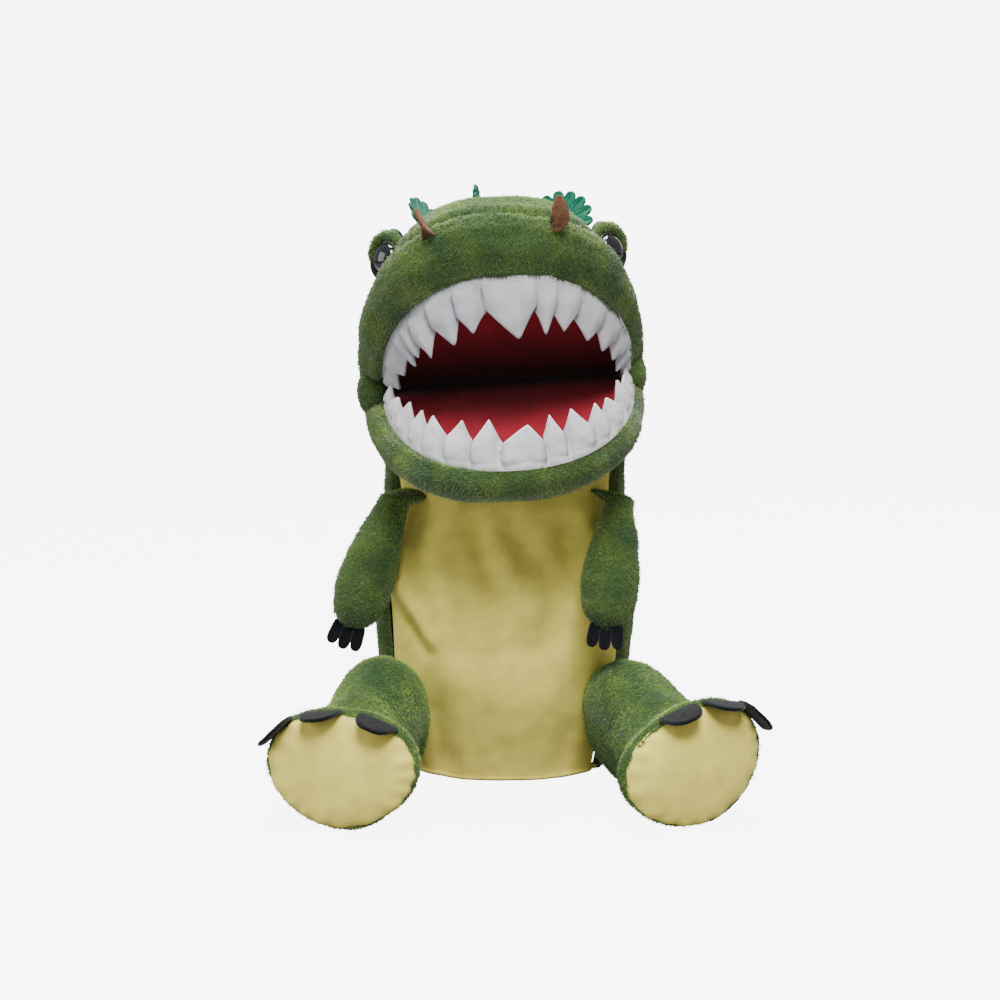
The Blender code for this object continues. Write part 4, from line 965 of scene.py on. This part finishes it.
# share of the rim's size and height of each ring of a sole
SOLE_CROWN = ((0.985, -0.0025), (0.975, 0.0002), (0.955, 0.0014), (0.92, 0.0026), (0.87, 0.0036),
              (0.80, 0.0045), (0.72, 0.0054), (0.63, 0.0062), (0.53, 0.0068), (0.43, 0.0073),
              (0.32, 0.0077), (0.21, 0.0080), (0.10, 0.0081), (0.0, 0.0081))
RIM_SIDES = 120
for tag, side, turned, rolled_by, aim, apart in (
        ("left", 1, 24, -20, 54, 33), ("right", -1, -15, 2, 105, 40)):
    rotation = spin(0, 0, turned)
    hip = body_origin(side * 0.064, -0.038, 0.0)
    roll = math.radians(rolled_by)
    leg = limb_grid(LEG_STOPS, 90, 64, roll, 0.0014, 0.0403)
    last = leg[-1]
    centre = last.mean(0)
    curled = [centre + (last - centre) * k + np.array([0, y, 0])
              for k, y in ((0.985, -0.0012), (0.955, -0.0012), (0.935, 0.0004))]
    leg = np.concatenate([leg, np.stack(curled)])
    leg = limb_root(leg, (0, 0, 0), 0.014)
    surface = Grid(placed(leg, rotation, hip), True)
    a = circle(90)[None, :]
    f = np.linspace(0, 1, len(leg))[:, None]
    ankle = -0.0016 * np.exp(-((f - 0.70) / 0.05) ** 2) * smoothstep(0.1, 0.9, np.sin(a))
    surface = surface.pushed(ankle - 0.0012).soft(0.0011, 80 + side)
    surface.points[..., 2] = np.maximum(surface.points[..., 2], SKIN_FLOOR)
    hair = pile(surface, NAP["leg"], steady(rotation @ np.array([0, -1.0, 0.12])), 81 + side)
    hair[0][:, 2] = np.maximum(hair[0][:, 2], NAP_FLOOR)
    item = covered("leg_plush_" + tag, surface, hair)
    ends = [tuple(hip + rotation @ np.array([0, -d, 0.02])) for d in (-0.002, 0.026)]
    finish_piece(item, GREEN, across=("torso", "leg_" + tag, *ends),
                 replaced=("leg_cover_" + tag, "leg_filling_" + tag))

    sole = np.stack([centre + (last - centre) * k + np.array([0, -out, 0]) for k, out in SOLE_CROWN])
    k = np.linspace(0, 1, len(sole))[:, None]
    gather = 0.0007 * np.sin(a * 17 + 2 * np.sin(a * 3)) * np.exp(-((k - 0.22) / 0.14) ** 2)
    surface = Grid(placed(sole, rotation, hip), True)
    surface = surface.pushed(gather + 0.0007 * rough(surface.points, 0.018, 90 + side))
    surface.points[..., 2] = np.maximum(surface.points[..., 2], SOLE_FLOOR)
    item = covered("sole_velour_" + tag, surface)
    finish_piece(item, YELLOW, "leg_" + tag, replaced=("sole_" + tag,))

    rim = limb_grid(LEG_STOPS[-2:], RIM_SIDES, 2, roll, 0.0003)[-1]
    middle = rim.mean(0)
    for number, step in enumerate((1, 0, -1), 1):
        i = round((aim + step * apart) * RIM_SIDES / 360)
        out = unit(rim[i] - middle)
        tangent = unit(rim[i - 1] - rim[i + 1])
        ahead_here = np.array([0, -1.0, 0]) + out * 0.12
        ahead_here = unit(ahead_here - tangent * (ahead_here @ tangent))
        normal = np.cross(tangent, ahead_here)
        if normal @ out < 0:
            normal = -normal
        tangent = np.cross(ahead_here, normal)
        base = rim[i] + normal * 0.0016 - ahead_here * 0.002
        axes = Matrix(np.stack([tangent, ahead_here, normal]).T.tolist()).to_4x4()
        local = Matrix.Translation(Vector(base)) @ axes
        world = Matrix.Translation(Vector(hip)) @ Matrix(rotation.tolist()).to_4x4() @ local
        felt_leaf(f"leg_claw_felt_{tag}_{number}", claw_outline(0.0235, 0.0190), 0.0022, world, BLACK,
                  "leg_" + tag, (f"leg_claw_{tag}_{number}",), curl=-6.0)

# half width, half height and length of the tail
TW, TH, TL = 0.0300, 0.0260, 0.1150
stops = [(-0.012, 0.96 * TW, 0.96 * TH, 0, 0), (0.08 * TL, 0.97 * TW, 0.97 * TH, 0, 0),
         (0.25 * TL, 0.88 * TW, 0.88 * TH, 0, 0), (0.42 * TL, 0.75 * TW, 0.77 * TH, 0, 0),
         (0.60 * TL, 0.58 * TW, 0.61 * TH, 0, 0), (0.76 * TL, 0.42 * TW, 0.46 * TH, 0, 0),
         (0.90 * TL, 0.25 * TW, 0.30 * TH, 0, 0), (0.985 * TL, 0.10 * TW, 0.14 * TH, 0, 0)]
tail = limb_end(limb_grid(stops, 60, 50, 0.0, 0.0016), 4, 0.002) * np.array([-1, -1, 1])
tail = Grid(tail + body_origin(0, 0.048, 0), True).pushed(-0.0010).soft(0.0010, 95)
tail.points[..., 2] = np.maximum(tail.points[..., 2], SKIN_FLOOR)
hair = pile(tail, NAP["tail"], steady((0, 1.0, -0.2)), 96)
hair[0][:, 2] = np.maximum(hair[0][:, 2], NAP_FLOOR)
item = covered("tail_plush", tail, hair)
ends = [tuple(body_origin(0, y, 0.02)) for y in (0.046, 0.074)]
finish_piece(item, GREEN, across=("torso", "tail", *ends),
             replaced=("tail_cover", "tail_filling"))

# ------------------------------------------------------------ eyes, brows, horns, crests

def turned_piece(name, profile, matrix, look, replaced=()):
    """A round piece on the head, from (radius, height) pairs."""
    a = circle(48)
    rings = [np.stack([r * np.cos(a), r * np.sin(a), np.full(48, h)], -1) for r, h in profile]
    item = covered(name, Grid(moved(np.stack(rings), matrix), True))
    return finish_piece(item, look, "head", replaced=replaced)


# (radius, height) along the profile of an eye, with its collar and dome, and of its ring
EYE_DOME = [(0.0001, -0.004), (0.0050, -0.004), (0.0072, 0.0016),
            (0.0082, 0.0026), (0.0085, 0.0034), (0.0082, 0.0040)]
EYE_DOME += [(0.0079 * math.cos(k), 0.0042 + 0.0046 * math.sin(k))
             for k in np.linspace(0.12, math.pi / 2 - 0.01, 16)]
EYE_RING = [(0.0080 + 0.0005 * math.cos(k), 0.0043 + 0.0007 * math.sin(k))
            for k in np.linspace(0, 2 * math.pi, 13)]
for side, tag in ((1, "left"), (-1, "right")):
    angle = EYE_ANGLE if side > 0 else math.pi - EYE_ANGLE
    point, normal = head_frame(angle, EYE_LEVEL)
    normal = unit(normal * 0.75 + np.array([0.0, -0.75, -0.10]))
    point = point + normal * 0.0012 + np.array([0.0030, 0, 0] if side < 0 else [-0.0010, 0, -0.0030])
    seat = facing(point, normal, np.array([0, 0, 1.0]))
    a = circle(40)
    patch = np.stack([0.0135 * np.cos(a), 0.0135 * (1 + 0.25 * np.maximum(np.sin(a), 0)) * np.sin(a)], -1)
    felt_leaf("eye_patch_felt_" + tag, patch, 0.0016, seat @ Matrix.Translation((0, 0, 0.0020)), BLACK,
              "head", ("eye_patch_" + tag,))
    turned_piece("eye_dome_" + tag, EYE_DOME, seat, EYE, ("eye_" + tag,))
    turned_piece("eye_ring_" + tag, EYE_RING, seat, RING)

    rows = []
    for k in np.linspace(0, 1, 34):
        bearing = math.radians(158 - 172 * k)
        fat = 0.0004 + 0.0030 * math.sin(math.pi * k) ** 0.55
        reach = 0.0106 + 0.0012 * math.sin(math.pi * k)
        out = np.array([side * math.cos(bearing), math.sin(bearing), 0.0])
        core = out * reach + np.array([0, 0, 0.0036])
        a = circle(24)[:, None]
        local = core + out * fat * np.cos(a) + np.array([0, 0, 1.15]) * fat * np.sin(a)
        rows.append(moved(local, seat))
    brow = Grid(np.stack(rows), True).soft(0.0003, 99)
    hair = pile(brow, NAP["brow"], steady((0, 0.1, -1.0)), 97 + side, BROW_NAP_LEAN)
    item = covered("brow_plush_" + tag, brow, hair)
    finish_piece(item, GREEN, "head", replaced=("brow_" + tag,))

for tag, degrees, twist, lean in (("left", -71, 10, 0.0), ("right", -113, 68, -0.35)):
    point, normal = head_frame(math.radians(degrees), HORN_LEVEL)
    upright = unit(np.array([lean, math.sin(UPPER_TILT) * 0.8, math.cos(UPPER_TILT)]) @ UPPER.T)
    centre, rows = point - normal * 0.002, []
    for k in np.linspace(0, 1, 22):
        ahead = unit(normal * max(0, 1 - 2 * k) + upright * min(1, 2 * k))
        seat = facing(centre, ahead, UPPER @ np.array([0, -1.0, 0.2]))
        seat = seat @ Matrix.Rotation(math.radians(twist), 4, "Z")
        half = 0.0056 * (0.62 + 1.1 * k - 1.60 * k * k) + 0.0004
        a = np.linspace(-1, 1, 15)
        fold = 0.0030 * (1 - np.abs(a)) * (1 - 0.5 * k)
        rows.append(moved(np.stack([half * a, fold, 0 * a], -1), seat))
        centre = centre + ahead * (0.0180 / 21)
    leaf = Grid(np.stack(rows), False)
    leaf = Grid(leaf.points + 0.0003 * rough(leaf.points, 0.0035, 5)[..., None], False)
    item = thickened(covered("horn_felt_" + tag, leaf), 0.0018, 1)
    finish_piece(item, BROWN, "head", replaced=("horn_" + tag,))

for name, degrees, level, twist, size in (
        ("left", -38, 0.78, -12, 1.0), ("right", -139, 0.78, 55, 1.0), ("middle", -97, 0.80, 80, 0.6)):
    point, normal = head_frame(math.radians(degrees), level)
    seat = facing(point - normal * 0.001, normal, UPPER @ np.array([0, 1.0, 0])) @ Matrix.Rotation(
        math.radians(twist), 4, "Z") @ Matrix.Rotation(math.pi / 2, 4, "X")
    lobes, radius = 7, 0.0200 * size
    f = np.linspace(0, 1, lobes * 12 + 1)
    fan = np.radians(2 + 176 * f)
    edge = radius * (0.78 + 0.22 * np.abs(np.sin(math.pi * lobes * f)) ** 0.6)
    rows = []
    for k in np.linspace(0.10, 1, 18):
        r = edge * k if k > 0.75 else radius * 0.78 * k + (edge - radius * 0.78) * (k / 0.75) ** 3 * 0.75
        lobe = (f * lobes) % 1.0 - 0.5
        crease = -0.0007 * np.exp(-((np.abs(lobe) - 0.5) / 0.10) ** 2) * smoothstep(0.1, 0.35, k)
        vein = -0.0005 * np.exp(-(lobe / 0.07) ** 2) * smoothstep(0.2, 0.5, k)
        cup = 0.004 * size * k * k
        rows.append(np.stack([-r * np.cos(fan), r * np.sin(fan), cup + crease + vein + 0 * f], -1))
    fan_grid = Grid(moved(np.stack(rows), seat), False)
    item = thickened(covered("crest_felt_" + name, fan_grid), 0.0016, 1)
    finish_piece(item, TEAL, "head", replaced=("crest_" + name,))

# ------------------------------------------------------------ inside: lining and pockets

UU, VV = np.meshgrid(np.linspace(0.012, 0.985, 40), circle(90), indexing="ij")
cloth = torso_points(VV, UU)
centre_line = MIDDLE * np.array([1, 1, 0]) + cloth * np.array([0, 0, 1])
cloth = centre_line + (cloth - centre_line) * 0.80
folds = 0.0012 * np.sin(VV * 14 + 3 * np.sin(UU * 5)) * smoothstep(0.0, 0.3, UU)
folds = folds + 0.0006 * rough(cloth, 0.02, 3)
cloth = Grid(cloth, True).pushed(folds)
item = thickened(covered("sleeve_cloth", cloth), 0.0010)
finish_piece(item, LINING, "torso", replaced=("sleeve_lining",))

# name, half width, length, height, how far behind the hinge, lowest height, rotation, body
for name, half, length, tall, behind, low_side, rotation, body in (
        ("finger_pocket", 0.0480, 0.0860, 0.0250, 0.0300, FELT_AND_BOARD, UPPER, "head"),
        ("thumb_pocket", 0.0280, 0.0700, 0.0200, -0.0120, -FELT_AND_BOARD - 0.0200, LOWER, "jaw")):
    AL, AR = np.meshgrid(np.linspace(0, 1, 46), circle(64), indexing="ij")
    share = curve([1.0, 1.0, 0.99, 0.97, 0.88, 0.58], AL)
    x = half * share * signed_power(np.cos(AR), 0.7)
    z = low_side + tall / 2 * (1 + signed_power(np.sin(AR), 0.7) * (0.5 + 0.5 * share))
    tube_points = np.stack([x, behind - AL * (length + behind), z], -1)
    creases = 0.0005 * np.sin(AL * 21 + 2 * np.sin(AR * 2)) + 0.0005 * rough(tube_points, 0.012, 6)
    bag = Grid(placed(tube_points, rotation), True).pushed(creases - 0.0006)
    tip_point = bag.points[-1].mean(0)
    closing = np.stack([tip_point + (bag.points[-1] - tip_point) * k for k in (0.6, 0.25, 0.02)])
    bag = Grid(np.concatenate([bag.points, closing]), True)
    item = thickened(covered(name + "_cloth", bag), 0.0008)
    finish_piece(item, LINING, body, replaced=(name,))

for node, look in (("upper_mouth_board", BOARD), ("lower_mouth_board", BOARD), ("eye_washer_left", WASHER),
                   ("eye_washer_right", WASHER), ("care_label", LABEL)):
    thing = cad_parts[node]
    thing.data.materials.clear()
    thing.data.materials.append(look)

# ------------------------------------------------------------ studio

floor_mesh = bpy.data.meshes.new("floor")
floor_mesh.from_pydata([(-6, -6, 0), (6, -6, 0), (6, 6, 0), (-6, 6, 0)], [], [(0, 1, 2, 3)])
floor = bpy.data.objects.new("floor", floor_mesh)
bpy.context.scene.collection.objects.link(floor)


# brightness of the floor and the world as the camera sees them, and of the world as it lights
FLOOR_SEEN, WORLD_SEEN, WORLD_LIGHT = 7.0, 9.0, 0.40


def floor_look(nodes, links, shader):
    grain = noise_node(nodes, links, 3.0, 2.0)
    tone = ramp_node(nodes, links, grain.outputs["Fac"], [(0.3, grey(0.24)), (0.7, grey(0.26))])
    links.new(tone.outputs["Color"], shader.inputs["Base Color"])
    path = nodes.new("ShaderNodeLightPath")
    glow = nodes.new("ShaderNodeMath")
    glow.operation = "MULTIPLY"
    glow.inputs[1].default_value = FLOOR_SEEN
    links.new(path.outputs["Is Camera Ray"], glow.inputs[0])
    links.new(glow.outputs["Value"], shader.inputs["Emission Strength"])
    shader.inputs["Emission Color"].default_value = (1.0, 1.0, 1.0, 1.0)


floor.data.materials.append(material("floor_white", floor_look, 0.9))

world = bpy.data.worlds.new("studio")
world.use_nodes = True
background = world.node_tree.nodes["Background"]
background.inputs["Color"].default_value = (1.0, 1.0, 1.0, 1.0)
background.inputs["Strength"].default_value = WORLD_LIGHT
seen = world.node_tree.nodes.new("ShaderNodeBackground")
seen.inputs["Strength"].default_value = WORLD_SEEN
path = world.node_tree.nodes.new("ShaderNodeLightPath")
choice = world.node_tree.nodes.new("ShaderNodeMixShader")
links = world.node_tree.links
links.new(path.outputs["Is Camera Ray"], choice.inputs[0])
links.new(background.outputs["Background"], choice.inputs[1])
links.new(seen.outputs["Background"], choice.inputs[2])
links.new(choice.outputs["Shader"], world.node_tree.nodes["World Output"].inputs["Surface"])
bpy.context.scene.world = world


def area_light(name, position, target, size, power, colour=(1, 1, 1)):
    light = bpy.data.lights.new(name, "AREA")
    light.size = size
    light.energy = power
    light.color = colour
    item = bpy.data.objects.new(name, light)
    item.location = position
    item.rotation_euler = (Vector(target) - Vector(position)).to_track_quat("-Z", "Y").to_euler()
    bpy.context.scene.collection.objects.link(item)


area_light("key", (0.10, -0.95, 1.25), (0, 0, 0.12), 0.5, 24.0)
area_light("top", (0.0, 0.05, 1.4), (0, 0, 0.2), 0.6, 34.0)
area_light("side", (-1.2, -0.4, 0.6), (0, 0, 0.2), 0.8, 6.0)
area_light("back", (0.6, 1.1, 0.8), (0, 0, 0.2), 0.8, 6.0)

camera_data = bpy.data.cameras.new("camera")
camera_data.lens = 60.0
camera_data.sensor_width = 36.0
camera_data.shift_x = -0.005
camera = bpy.data.objects.new("camera", camera_data)
camera.location = (MIDDLE[0], MIDDLE[1] - 1.0, 0.30)
camera.rotation_euler = (math.radians(90 - 7.9), 0, 0)
bpy.context.scene.collection.objects.link(camera)
bpy.context.scene.camera = camera
